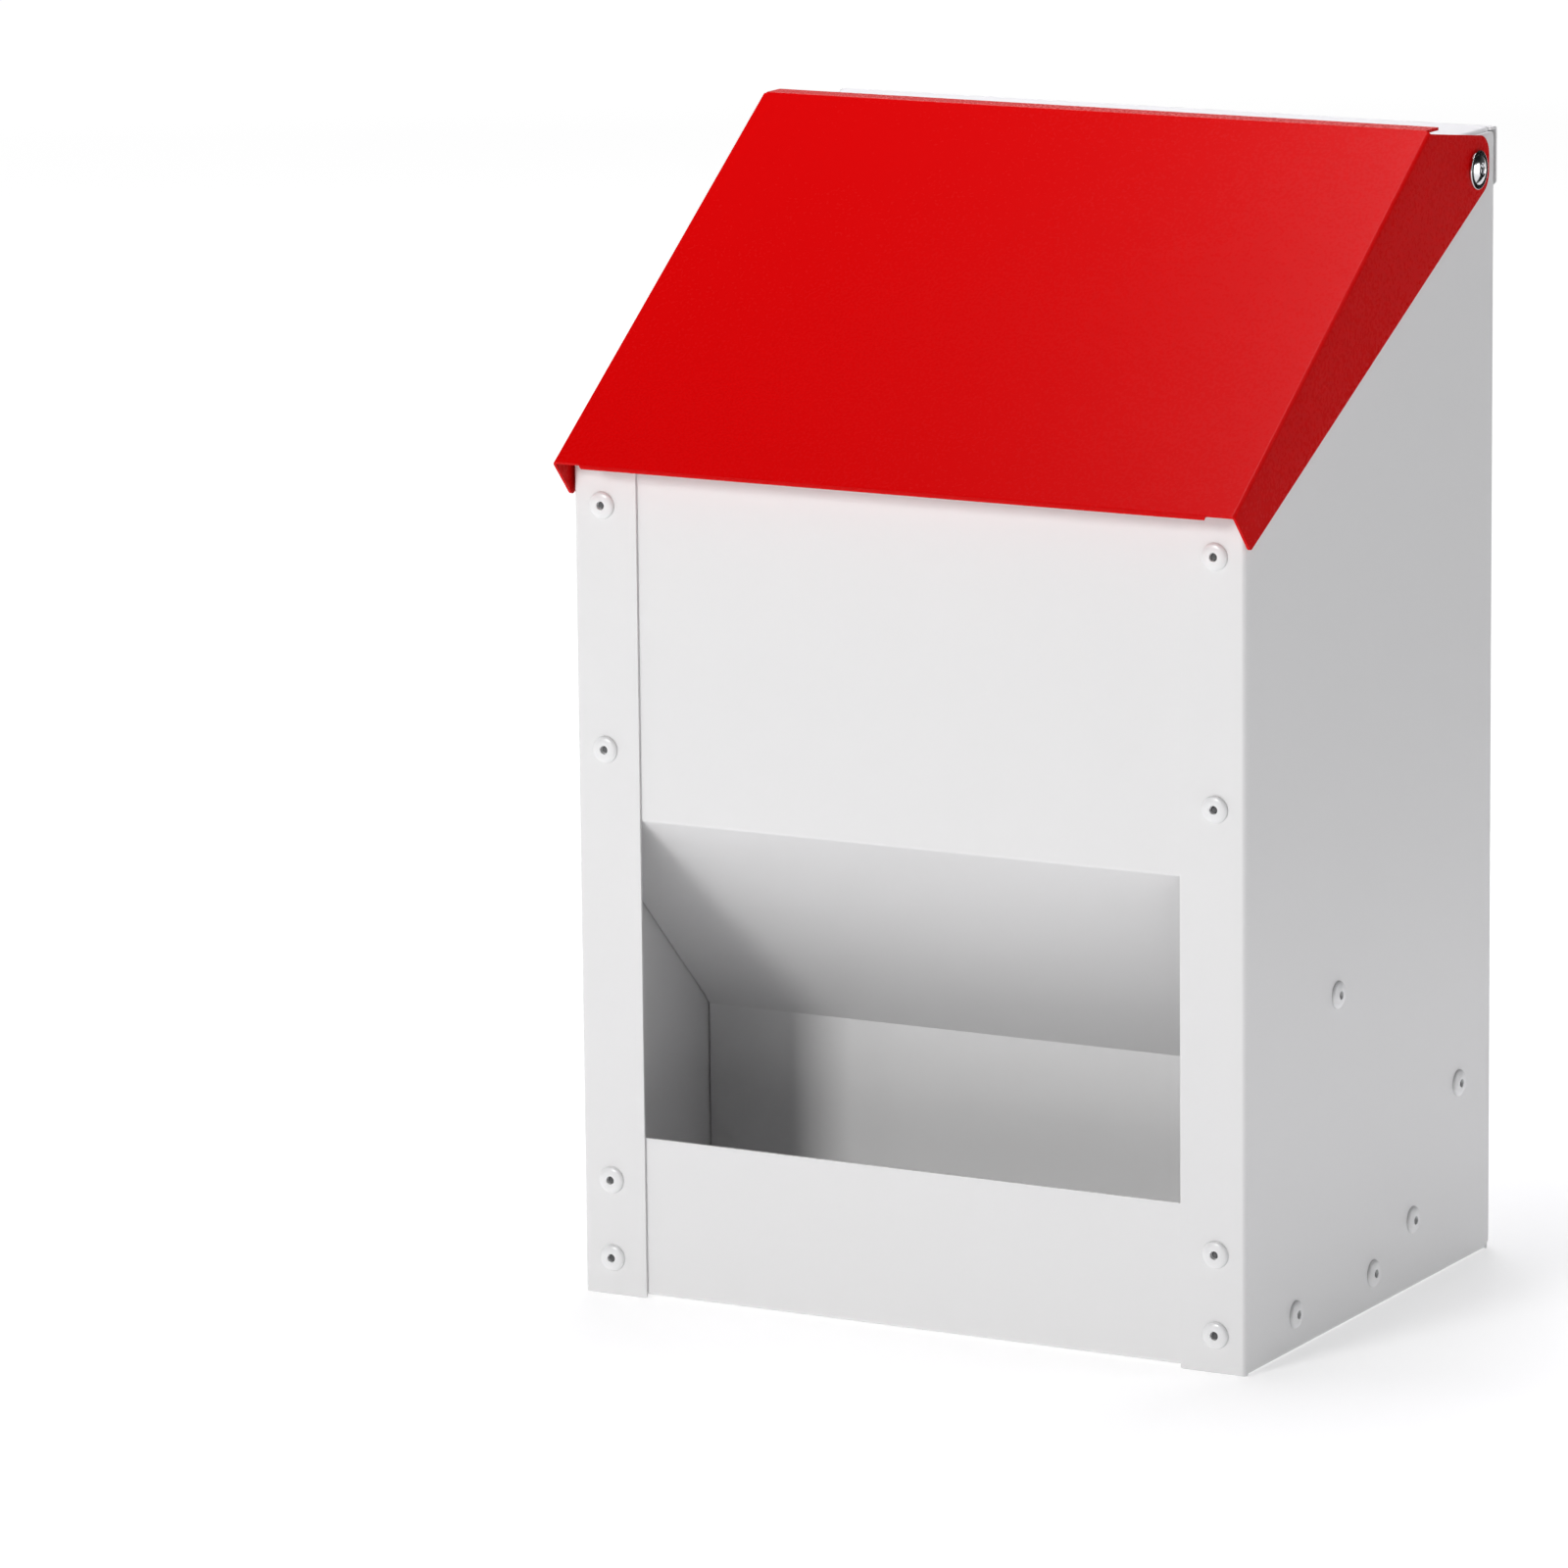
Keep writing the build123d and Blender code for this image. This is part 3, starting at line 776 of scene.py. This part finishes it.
def roundedCorner(before, corner, after, radius, steps=8):
    # points of an arc that rounds a corner of a flat outline
    before, corner, after = Vector(before), Vector(corner), Vector(after)
    back, on = (before - corner).normalized(), (after - corner).normalized()
    opening = back.angle(on)
    start = corner + back * radius / tan(opening / 2)
    centre = corner + (back + on).normalized() * radius / sin(opening / 2)
    arm = start - centre
    side = 1.0 if (corner - before).cross(after - corner) > 0 else -1.0
    arc = []
    for i in range(steps + 1):
        turn = side * (pi - opening) * i / steps
        arc.append(centre + Vector((
            arm.x * cos(turn) - arm.y * sin(turn), arm.x * sin(turn) + arm.y * cos(turn)
        )))
    return arc


def makeLid(s):
    slope = radians(s["slope"])
    up = Vector((cos(slope), sin(slope)))
    fold = Vector((rearY - s["foldFromRear"], lidHigh.z))
    noseY = lidLow.y + s["hemRadius"]
    noseZ = fold.y - (fold.x - noseY) * tan(slope) - s["hemRadius"] / cos(slope)
    nose = Vector((noseY, noseZ))
    out = Vector((-up.y, up.x))
    frontEdge = nose + out * s["hemRadius"]
    corners = [(fold.x + s["strip"], fold.y), fold, frontEdge]
    stations = foldedStations(corners, {1: [s["flangeStart"]]})
    flatHalf = lidHigh.x - bendOutside
    hemHalf = flatHalf - s["hemInset"]
    flat = [(x, 0.0) for x in evenly(0.0, hemHalf)] + [(flatHalf, 0.0)]
    bend = [(flatHalf, 0.0)] + quarterBend(flatHalf, bendOutside)[:-1]
    sheet = SheetMesh()

    def spot(i, column, sign):
        x, rise = column
        place = stations[i].at(rise)
        return sheet.vertex((i, round(sign * x, 7), round(rise, 7)), (sign * x, place.x, place.y))

    def strip(i, columns, sign):
        for a, b in zip(columns, columns[1:]):
            sheet.face(spot(i, a, sign), spot(i + 1, a, sign), spot(i + 1, b, sign), spot(i, b, sign))

    def hasFlange(station):
        return station.run == 1 and station.distance > s["flangeStart"] - hair

    flanged = [i for i, station in enumerate(stations) if hasFlange(station)]
    for sign in (1.0, -1.0):
        for i in range(len(stations) - 1):
            strip(i, flat, sign)
            if i in flanged and i + 1 in flanged:
                strip(i, bend, sign)
    bendEnd = stations[flanged[0]].at(bend[-1][1])
    underFold = (bendEnd.x + s["topStart"], fold.y - s["topDrop"])
    for sign in (1.0, -1.0):
        upperEdge = [spot(i, bend[-1], sign) for i in flanged]
        addLidSide(sheet, s, sign, underFold, frontEdge, up, upperEdge)
        noseEdge = [spot(len(stations) - 1, column, sign) for column in flat[:-1]]
        addHem(sheet, s, sign, nose, up, out, noseEdge, hemHalf)
    print("lid slope length", round((fold - frontEdge).length / mm, 1), "mm")
    finishPiece("lidShell", sheet, coats["redCoat"], "lid", ["lid"])


def addLidSide(sheet, s, sign, underFold, frontEdge, up, upperEdge):
    # the flat of a side flange hangs from the lower edge of its bend
    x = sign * (lidHigh.x - thick / 2)
    down = Vector((up.y, -up.x))
    tip = frontEdge + up * s["tipRun"] + down * s["tipDrop"]
    rearLow = (lidHigh.y, s["rearLow"])
    rearHigh = (lidHigh.y, s["rearHigh"])
    outline = roundedCorner(frontEdge, tip, rearLow, s["tipRadius"], 5)
    outline += roundedCorner(tip, rearLow, rearHigh, s["rearRadius"])
    outline += roundedCorner(rearLow, rearHigh, underFold, s["rearRadius"])
    outline.append(Vector(underFold))
    ring = [sheet.vertex(("side", sign, i), (x, p.x, p.y)) for i, p in enumerate(outline)]
    sheet.face(*upperEdge, *ring)


def addHem(sheet, s, sign, nose, up, out, edge, hemHalf):
    # the front edge rolled under itself, with a short flap
    steps = s["hemSteps"]
    middle = s["hemRadius"] - thick / 2
    rows = []
    for i in range(1, steps + 1):
        turn = pi * i / steps
        place = nose + out * middle * cos(turn) - up * middle * sin(turn)
        rows.append((place, hemHalf - s["hemTaper"] * i / steps))
    flapStart = rows[-1][0]
    straight = s["hemLength"] - s["hemCorner"]
    rows.append((flapStart + up * straight, hemHalf - s["hemTaper"]))
    rows.append((flapStart + up * s["hemLength"], hemHalf - s["hemTaper"] - s["hemCorner"]))
    columns = evenly(0.0, hemHalf)
    previous = edge
    for k, (place, width) in enumerate(rows):
        ring = []
        for j, x in enumerate(columns):
            x = sign * min(x, width - s["hemCell"] * (len(columns) - 1 - j))
            ring.append(sheet.vertex(("hem", k, round(x, 7)), (x, place.x, place.y)))
        for a in range(len(ring) - 1):
            sheet.face(previous[a], ring[a], ring[a + 1], previous[a + 1])
        previous = ring


makeLid(lidSettings)
print("lid made")


# blind rivets, made by Geometry Nodes at every place the frame has one

rivetSettings = {
    "Head Radius": 4.75 * mm,
    "Head Height": 1.45 * mm,
    "Rim Height": 0.3 * mm,
    "Bore Radius": 1.45 * mm,
    "Bore Edge": 0.12 * mm,
    "Shank Radius": 2.4 * mm,
    "Bulb Radius": 3.4 * mm,
    "Bulb Length": 3.2 * mm,
    "Grip": 2.05 * mm,
}
mandrelSettings = {
    "Pin Radius": 1.375 * mm,
    "Pin Top": 0.35 * mm,
    "Break Edge": 0.3 * mm,
    "Ball Radius": 2.2 * mm,
    "Ball Seat": -5.3 * mm,
    "Ball Depth": 1.8 * mm,
}
turningSettings = {
    "around": 40,
    "axisOffset": 1.0 * mm,
    "weld": 0.002 * mm,
    "sharpAngle": 32.0,
    "cornerSteps": 4,
    "crownSteps": (0.12, 0.28, 0.44, 0.6, 0.74, 0.86, 0.95),
    "crownPower": 2.2,
    "seed": 7,
    "breakSpread": 0.12 * mm,   # how far mandrels break above or below their usual height
}


def rivetOutline(v):
    # (radius, height, corner radius) from the bore's mouth, over the crown and round to the bore
    crown = []
    mouth = v["Bore Radius"] + v["Bore Edge"]
    for part in turningSettings["crownSteps"]:
        rise = sqrt(1.0 - part ** turningSettings["crownPower"])
        height = v["Rim Height"] + (v["Head Height"] - v["Rim Height"]) * rise
        crown.append((mouth + (v["Head Radius"] - mouth) * part, height, 0.0))
    bulbEnd = -v["Grip"] - v["Bulb Length"]
    return [
        (v["Bore Radius"], v["Head Height"] - v["Bore Edge"], 0.0),
        (v["Bore Radius"] + v["Bore Edge"] * 0.3, v["Head Height"] - v["Bore Edge"] * 0.3, 0.0),
        (mouth, v["Head Height"], 0.0),
        *crown,
        (v["Head Radius"], v["Rim Height"], 0.1 * mm),
        (v["Head Radius"], 0.0, 0.05 * mm),
        (v["Shank Radius"], 0.0, 0.0),
        (v["Shank Radius"], -v["Grip"], 0.0),
        (v["Bulb Radius"], -v["Grip"], 0.5 * mm),
        (v["Bulb Radius"], bulbEnd + 1.1 * mm, 0.4 * mm),
        (v["Shank Radius"] + 0.3 * mm, bulbEnd, 0.15 * mm),
        (v["Bore Radius"], bulbEnd, 0.1 * mm),
        (v["Bore Radius"], v["Head Height"] - v["Bore Edge"], 0.0),
    ]


def mandrelOutline(v):
    # from the broken end's middle down to the ball's underside
    low = v["Ball Seat"] - v["Ball Depth"]
    return [
        (0.0, v["Pin Top"] - v["Break Edge"] * 0.4, 0.0),
        (v["Pin Radius"] * 0.45, v["Pin Top"] - v["Break Edge"] * 0.5, 0.0),
        (v["Pin Radius"] - v["Break Edge"], v["Pin Top"], 0.08 * mm),
        (v["Pin Radius"], v["Pin Top"] - v["Break Edge"], 0.05 * mm),
        (v["Pin Radius"], v["Ball Seat"], 0.0),
        (v["Ball Radius"], v["Ball Seat"], 0.2 * mm),
        (v["Ball Radius"], low + v["Ball Depth"] * 0.35, 0.9 * mm),
        (v["Ball Radius"] * 0.55, low, 0.7 * mm),
        (0.0, low, 0.0),
    ]


def turnedTree(name, sizes, outline, breakSpread):
    # a tree that turns an outline into a solid and sets one at each point, facing its way
    tree = bpy.data.node_groups.new(name, "GeometryNodeTree")
    kinds = {"Places": "Geometry", **{key: "Float" for key in sizes}}
    kinds.update({"Break Spread": "Float", "Seed": "Int", "Finish": "Material"})
    values = {**sizes, "Break Spread": breakSpread, "Seed": turningSettings["seed"]}
    for key, kind in kinds.items():
        socket = tree.interface.new_socket(key, in_out="INPUT", socket_type="NodeSocket" + kind)
        if key in values:
            socket.default_value = values[key]
    tree.interface.new_socket("Pieces", in_out="OUTPUT", socket_type="NodeSocketGeometry")
    bench = NodeBench(tree)
    inputs = tree.nodes.new("NodeGroupInput").outputs
    given = {key: Wire(tree, inputs[key]) for key in kinds}
    points = outline(given)
    index = bench.add("GeometryNodeInputIndex")

    def pick(values):
        sockets = {"Index": index, **{i + 1: value for i, value in enumerate(values)}}
        settings = {"data_type": "FLOAT", "items": len(values)}
        return bench.add("GeometryNodeIndexSwitch", settings, sockets)

    offset = turningSettings["axisOffset"]
    across = pick([p[0] for p in points]) - offset
    place = bench.add("ShaderNodeCombineXYZ", None, {"X": across, "Y": -pick([p[1] for p in points])})
    dots = bench.add("GeometryNodePoints", None, {"Count": len(points), "Position": place})
    line = bench.add("GeometryNodePointsToCurves", None, {0: dots})
    rounded = bench.add("GeometryNodeFilletCurve", {"mode": "POLY"}, {
        "Curve": line, "Count": turningSettings["cornerSteps"],
        "Radius": pick([p[2] for p in points]), "Limit Radius": True,
    })
    circle = bench.add("GeometryNodeCurvePrimitiveCircle", None, {
        "Resolution": turningSettings["around"], "Radius": offset,
    })
    skin = bench.add("GeometryNodeCurveToMesh", None, {"Curve": circle, "Profile Curve": rounded})
    solid = bench.add("GeometryNodeMergeByDistance", None, {
        "Geometry": skin, "Distance": turningSettings["weld"],
    })
    facing = bench.add("GeometryNodeInputNamedAttribute", {"data_type": "FLOAT_VECTOR"}, {"Name": "facing"})
    turn = bench.add("FunctionNodeAlignRotationToVector", {"axis": "Z"}, {"Vector": facing})
    spread = given["Break Spread"]
    shift = bench.add("FunctionNodeRandomValue", {"data_type": "FLOAT"}, {
        "Min": -spread, "Max": spread, "Seed": given["Seed"],
    }, 1)
    along = bench.add("ShaderNodeVectorMath", {"operation": "SCALE"}, {"Vector": facing, "Scale": shift})
    moved = bench.add("GeometryNodeSetPosition", None, {"Geometry": given["Places"], "Offset": along})
    placed = bench.add("GeometryNodeInstanceOnPoints", None, {
        "Points": moved, "Instance": solid, "Rotation": turn,
    })
    real = bench.add("GeometryNodeRealizeInstances", None, {"Geometry": placed})
    smooth = bench.add("GeometryNodeSetShadeSmooth", {"domain": "FACE"}, {
        "Geometry": real, "Shade Smooth": True,
    })
    bent = bench.add("GeometryNodeInputMeshEdgeAngle")
    sharp = bent > radians(turningSettings["sharpAngle"])
    crisp = bench.add("GeometryNodeSetShadeSmooth", {"domain": "EDGE"}, {
        "Geometry": smooth, "Selection": sharp, "Shade Smooth": False,
    })
    finished = bench.add("GeometryNodeSetMaterial", None, {
        "Geometry": crisp, "Material": given["Finish"],
    })
    last = tree.nodes.new("NodeGroupOutput")
    tree.links.new(finished.socket, last.inputs["Pieces"])
    return tree


def fastenerPlaces(rowNames):
    # one point per fastener at its head's seat, with the way it faces
    points, ways = [], []
    for rowName in rowNames:
        facing, seat = seatOf(rowName)
        for centre in solidCentres(nodes[rowName]):
            axis = max(range(3), key=lambda k: abs(facing[k]))
            centre[axis] = seat
            points.append(centre)
            ways.append(facing)
    return points, ways


def solidCentres(node):
    # middle of the box round each separate solid of a CAD node
    build = bmesh.new()
    build.from_mesh(node.data)
    bmesh.ops.remove_doubles(build, verts=build.verts, dist=0.01 * mm)
    left = set(build.verts)
    centres = []
    while left:
        group, edgeOn = set(), [left.pop()]
        while edgeOn:
            vert = edgeOn.pop()
            group.add(vert)
            for edge in vert.link_edges:
                other = edge.other_vert(vert)
                if other in left:
                    left.discard(other)
                    edgeOn.append(other)
        low = [min(v.co[k] for v in group) for k in range(3)]
        high = [max(v.co[k] for v in group) for k in range(3)]
        centres.append(Vector([(a + b) / 2 for a, b in zip(low, high)]))
    build.free()
    return sorted(centres, key=lambda c: (round(c.z, 5), round(c.y, 5)))


def seatOf(rowName):
    # the way a row's heads face, and where their seats lie along it
    side = 1.0 if "right" in rowName else -1.0
    if rowName.startswith("front"):
        return (0.0, -1.0, 0.0), frontY
    if rowName.startswith("rear"):
        return (0.0, 1.0, 0.0), backHigh.y
    return (side, 0.0, 0.0), side * half


def makeTurnedRow(name, sizes, outline, material, rowNames, breakSpread=0.0):
    points, ways = fastenerPlaces(rowNames)
    mesh = bpy.data.meshes.new(name + "Places")
    mesh.from_pydata(points, [], [])
    mesh.attributes.new("facing", "FLOAT_VECTOR", "POINT").data.foreach_set(
        "vector", [value for way in ways for value in way]
    )
    piece = bpy.data.objects.new(name, mesh)
    bpy.context.scene.collection.objects.link(piece)
    tree = turnedTree(name + "Tree", sizes, outline, breakSpread)
    maker = piece.modifiers.new("turned", "NODES")
    maker.node_group = tree
    given = [item for item in tree.interface.items_tree if item.in_out == "INPUT"]
    identifiers = {item.name: item.identifier for item in given}
    maker[identifiers["Finish"]] = material
    for key, value in sizes.items():
        maker[identifiers[key]] = value
    graph = bpy.context.evaluated_depsgraph_get()
    made = bpy.data.meshes.new_from_object(piece.evaluated_get(graph), depsgraph=graph)
    piece.modifiers.clear()
    piece.data = made
    made.name = name
    dressPiece(piece, material, "cabinet", rowNames)
    print(name, len(points), "made,", len(made.polygons), "faces")


rowPlaces = [where + "_" + side for where in ("front", "side", "rear") for side in ("left", "right")]
makeTurnedRow(
    "blindRivets", rivetSettings, rivetOutline, coats["rivetCoat"],
    [place + "_rivets" for place in rowPlaces],
)
makeTurnedRow(
    "rivetMandrels", mandrelSettings, mandrelOutline, steels["mandrelSteel"],
    [place + "_mandrels" for place in rowPlaces], turningSettings["breakSpread"],
)


# pivot screws and lock nuts, lofted ring by ring

screwSettings = {
    "flangeRadius": 6.8 * mm, "flangeThick": 0.8 * mm, "flangeRound": 0.3 * mm,
    "domeRadius": 5.6 * mm, "headHeight": 2.2 * mm,
    "socketFlats": 4.0 * mm, "socketDeep": 1.3 * mm, "socketEdge": 0.25 * mm,
    "shankRadius": 3.0 * mm, "length": 12.0 * mm, "pitch": 1.0 * mm, "threadDepth": 0.55 * mm,
    "endChamfer": 0.6 * mm, "washerGap": 0.15 * mm, "turned": 12.0,
}
nutSettings = {
    "flats": 10.0 * mm, "hexHeight": 4.4 * mm, "height": 6.0 * mm, "chamfer": 0.45 * mm,
    "collarRadius": 4.5 * mm, "collarRound": 0.7 * mm, "boreRadius": 3.05 * mm, "turned": 8.0,
}
ringCount = 72
creaseAngle = 28.0


def hexRadius(flats, angle):
    # distance from the axis to a hexagon's edge
    sixth = pi / 3
    within = (angle + sixth / 2) % sixth - sixth / 2
    return flats / 2 / cos(within)


def ringPoints(radiusAt, heightAt):
    angles = [2 * pi * i / ringCount for i in range(ringCount)]
    return [(radiusAt(a) * cos(a), radiusAt(a) * sin(a), heightAt(a)) for a in angles]


def flatRing(radius, height):
    return ringPoints(lambda a: radius, lambda a: height)


def hexRing(flats, height):
    return ringPoints(lambda a: hexRadius(flats, a), lambda a: height)


def lofted(name, rings, closeFirst=True, closeLast=True):
    # skins a stack of rings; with both ends open, the last ring joins the first
    points = [p for ring in rings for p in ring]
    faces = []
    for k in range(len(rings) - 1):
        a, b = k * ringCount, (k + 1) * ringCount
        for i in range(ringCount):
            j = (i + 1) % ringCount
            faces.append((a + i, a + j, b + j, b + i))
    for close, ring, flip in ((closeFirst, 0, True), (closeLast, len(rings) - 1, False)):
        if close:
            middle = [sum(p[k] for p in rings[ring]) / ringCount for k in range(3)]
            points.append(tuple(middle))
            for i in range(ringCount):
                loop = (ring * ringCount + i, ring * ringCount + (i + 1) % ringCount, len(points) - 1)
                faces.append(tuple(reversed(loop)) if flip else loop)
    if not closeFirst and not closeLast:
        last = (len(rings) - 1) * ringCount
        for i in range(ringCount):
            j = (i + 1) % ringCount
            faces.append((last + i, last + j, j, i))
    mesh = bpy.data.meshes.new(name)
    mesh.from_pydata(points, [], faces)
    build = bmesh.new()
    build.from_mesh(mesh)
    bmesh.ops.recalc_face_normals(build, faces=build.faces)
    for face in build.faces:
        face.smooth = True
    for edge in build.edges:
        if len(edge.link_faces) == 2 and edge.calc_face_angle() > radians(creaseAngle):
            edge.smooth = False
    build.to_mesh(mesh)
    build.free()
    return mesh


def screwMesh(s):
    # head seat at z = 0, head upwards, threaded shank downwards
    top = s["headHeight"]
    floorZ = top - s["socketDeep"]
    rise = top - s["flangeThick"] * 0.6
    ball = (s["domeRadius"] ** 2 + rise ** 2) / (2 * rise)
    mouth = s["socketFlats"] / 2 / cos(pi / 6) + s["socketEdge"]

    def crownAt(r):
        return top - ball + sqrt(ball ** 2 - r ** 2)

    rings = [
        hexRing(s["socketFlats"] * 0.55, floorZ - 0.35 * mm),
        hexRing(s["socketFlats"] * 0.96, floorZ),
        hexRing(s["socketFlats"], floorZ + 0.1 * mm),
        hexRing(s["socketFlats"], crownAt(mouth) - s["socketEdge"]),
        flatRing(mouth, crownAt(mouth)),
    ]
    for i in range(1, 13):
        r = mouth + (s["domeRadius"] - mouth) * i / 12
        rings.append(flatRing(r, max(crownAt(r), s["flangeThick"])))
    edge = s["flangeRound"]
    rings.append(flatRing(s["domeRadius"] + 0.25 * mm, s["flangeThick"]))
    for i in range(7):
        turn = pi / 2 * i / 6
        rings.append(flatRing(
            s["flangeRadius"] - edge + edge * sin(turn), s["flangeThick"] - edge + edge * cos(turn)
        ))
    rings += [
        flatRing(s["flangeRadius"], 0.05 * mm),
        flatRing(s["flangeRadius"] - 0.05 * mm, 0.0),
        flatRing(s["shankRadius"] + 0.1 * mm, 0.0),
        flatRing(s["shankRadius"], -0.1 * mm),
        *threadRings(s),
    ]
    return lofted("pivotScrewMesh", rings)


def threadRings(s):
    # the ridge climbs one pitch for each turn, and fades out at both ends
    rings = []
    start, stop = -0.6 * mm, -s["length"]
    steps = int((start - stop) / s["pitch"] * 8)
    for i in range(steps + 1):
        z = start + (stop - start) * i / steps
        fade = min(1.0, i / 8.0)
        chamfer = max(0.0, s["endChamfer"] - (z - stop))

        def radiusAt(angle, z=z, fade=fade, chamfer=chamfer):
            turns = (z / s["pitch"] + angle / (2 * pi)) % 1.0
            groove = abs(turns - 0.5) * 2.0
            depth = s["threadDepth"] * fade * min(1.0, max(0.0, groove * 1.25 - 0.125))
            return s["shankRadius"] - max(depth, chamfer)

        rings.append(ringPoints(radiusAt, lambda a, z=z: z))
    return rings


def nutMesh(s):
    # seat at z = 0, pointing down, with a round collar at its end
    def chamfered(height, drop):
        # the hexagon's corners are cut back by a cone near each end
        cone = s["flats"] / 2 / cos(pi / 6) - max(0.0, s["chamfer"] - drop) * 1.6
        return ringPoints(lambda a: min(hexRadius(s["flats"], a), cone), lambda a: height)

    rings = [flatRing(s["boreRadius"], 0.0), flatRing(s["boreRadius"] + 1.2 * mm, 0.0)]
    for drop in (0.0, 0.15, 0.3, 0.45):
        rings.append(chamfered(-drop * mm, drop * mm))
    for drop in (0.45, 0.3, 0.15, 0.0):
        rings.append(chamfered(-s["hexHeight"] + drop * mm, drop * mm))
    rings.append(flatRing(s["collarRadius"] + 0.1 * mm, -s["hexHeight"]))
    rings.append(flatRing(s["collarRadius"], -s["hexHeight"] - 0.1 * mm))
    edge = s["collarRound"]
    for i in range(7):
        turn = pi / 2 * i / 6
        rings.append(flatRing(
            s["collarRadius"] - edge + edge * cos(turn), -s["height"] + edge - edge * sin(turn)
        ))
    rings.append(flatRing(s["boreRadius"] + 0.15 * mm, -s["height"]))
    rings.append(flatRing(s["boreRadius"], -s["height"] + 0.15 * mm))
    return lofted("lockNutMesh", rings, False, False)


def placeOnSide(name, mesh, sign, seat, turned, replaced):
    mesh = mesh.copy()
    turn = Matrix.Rotation(sign * pi / 2, 4, "Y") @ Matrix.Rotation(radians(turned), 4, "Z")
    mesh.transform(Matrix.Translation(seat) @ turn)
    piece = bpy.data.objects.new(name, mesh)
    bpy.context.scene.collection.objects.link(piece)
    dressPiece(piece, steels["brightSteel"], "cabinet", [replaced])


screw, nut = screwMesh(screwSettings), nutMesh(nutSettings)
for sideName, sign in (("left", -1.0), ("right", 1.0)):
    screwNode, nutNode = sideName + "_pivot_screw", sideName + "_lock_nut"
    low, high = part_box(screwNode)
    pivotY, pivotZ = (low.y + high.y) / 2, (low.z + high.z) / 2
    seat = (sign * (lidHigh.x + screwSettings["washerGap"]), pivotY, pivotZ)
    placeOnSide(sideName + "PivotScrew", screw, sign, seat, screwSettings["turned"], screwNode)
    low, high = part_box(nutNode)
    seat = (sign * max(abs(low.x), abs(high.x)), pivotY, pivotZ)
    placeOnSide(sideName + "LockNut", nut, sign, seat, nutSettings["turned"], nutNode)
print("pivot screws and nuts made")

bpy.context.scene.view_settings.view_transform = "Standard"
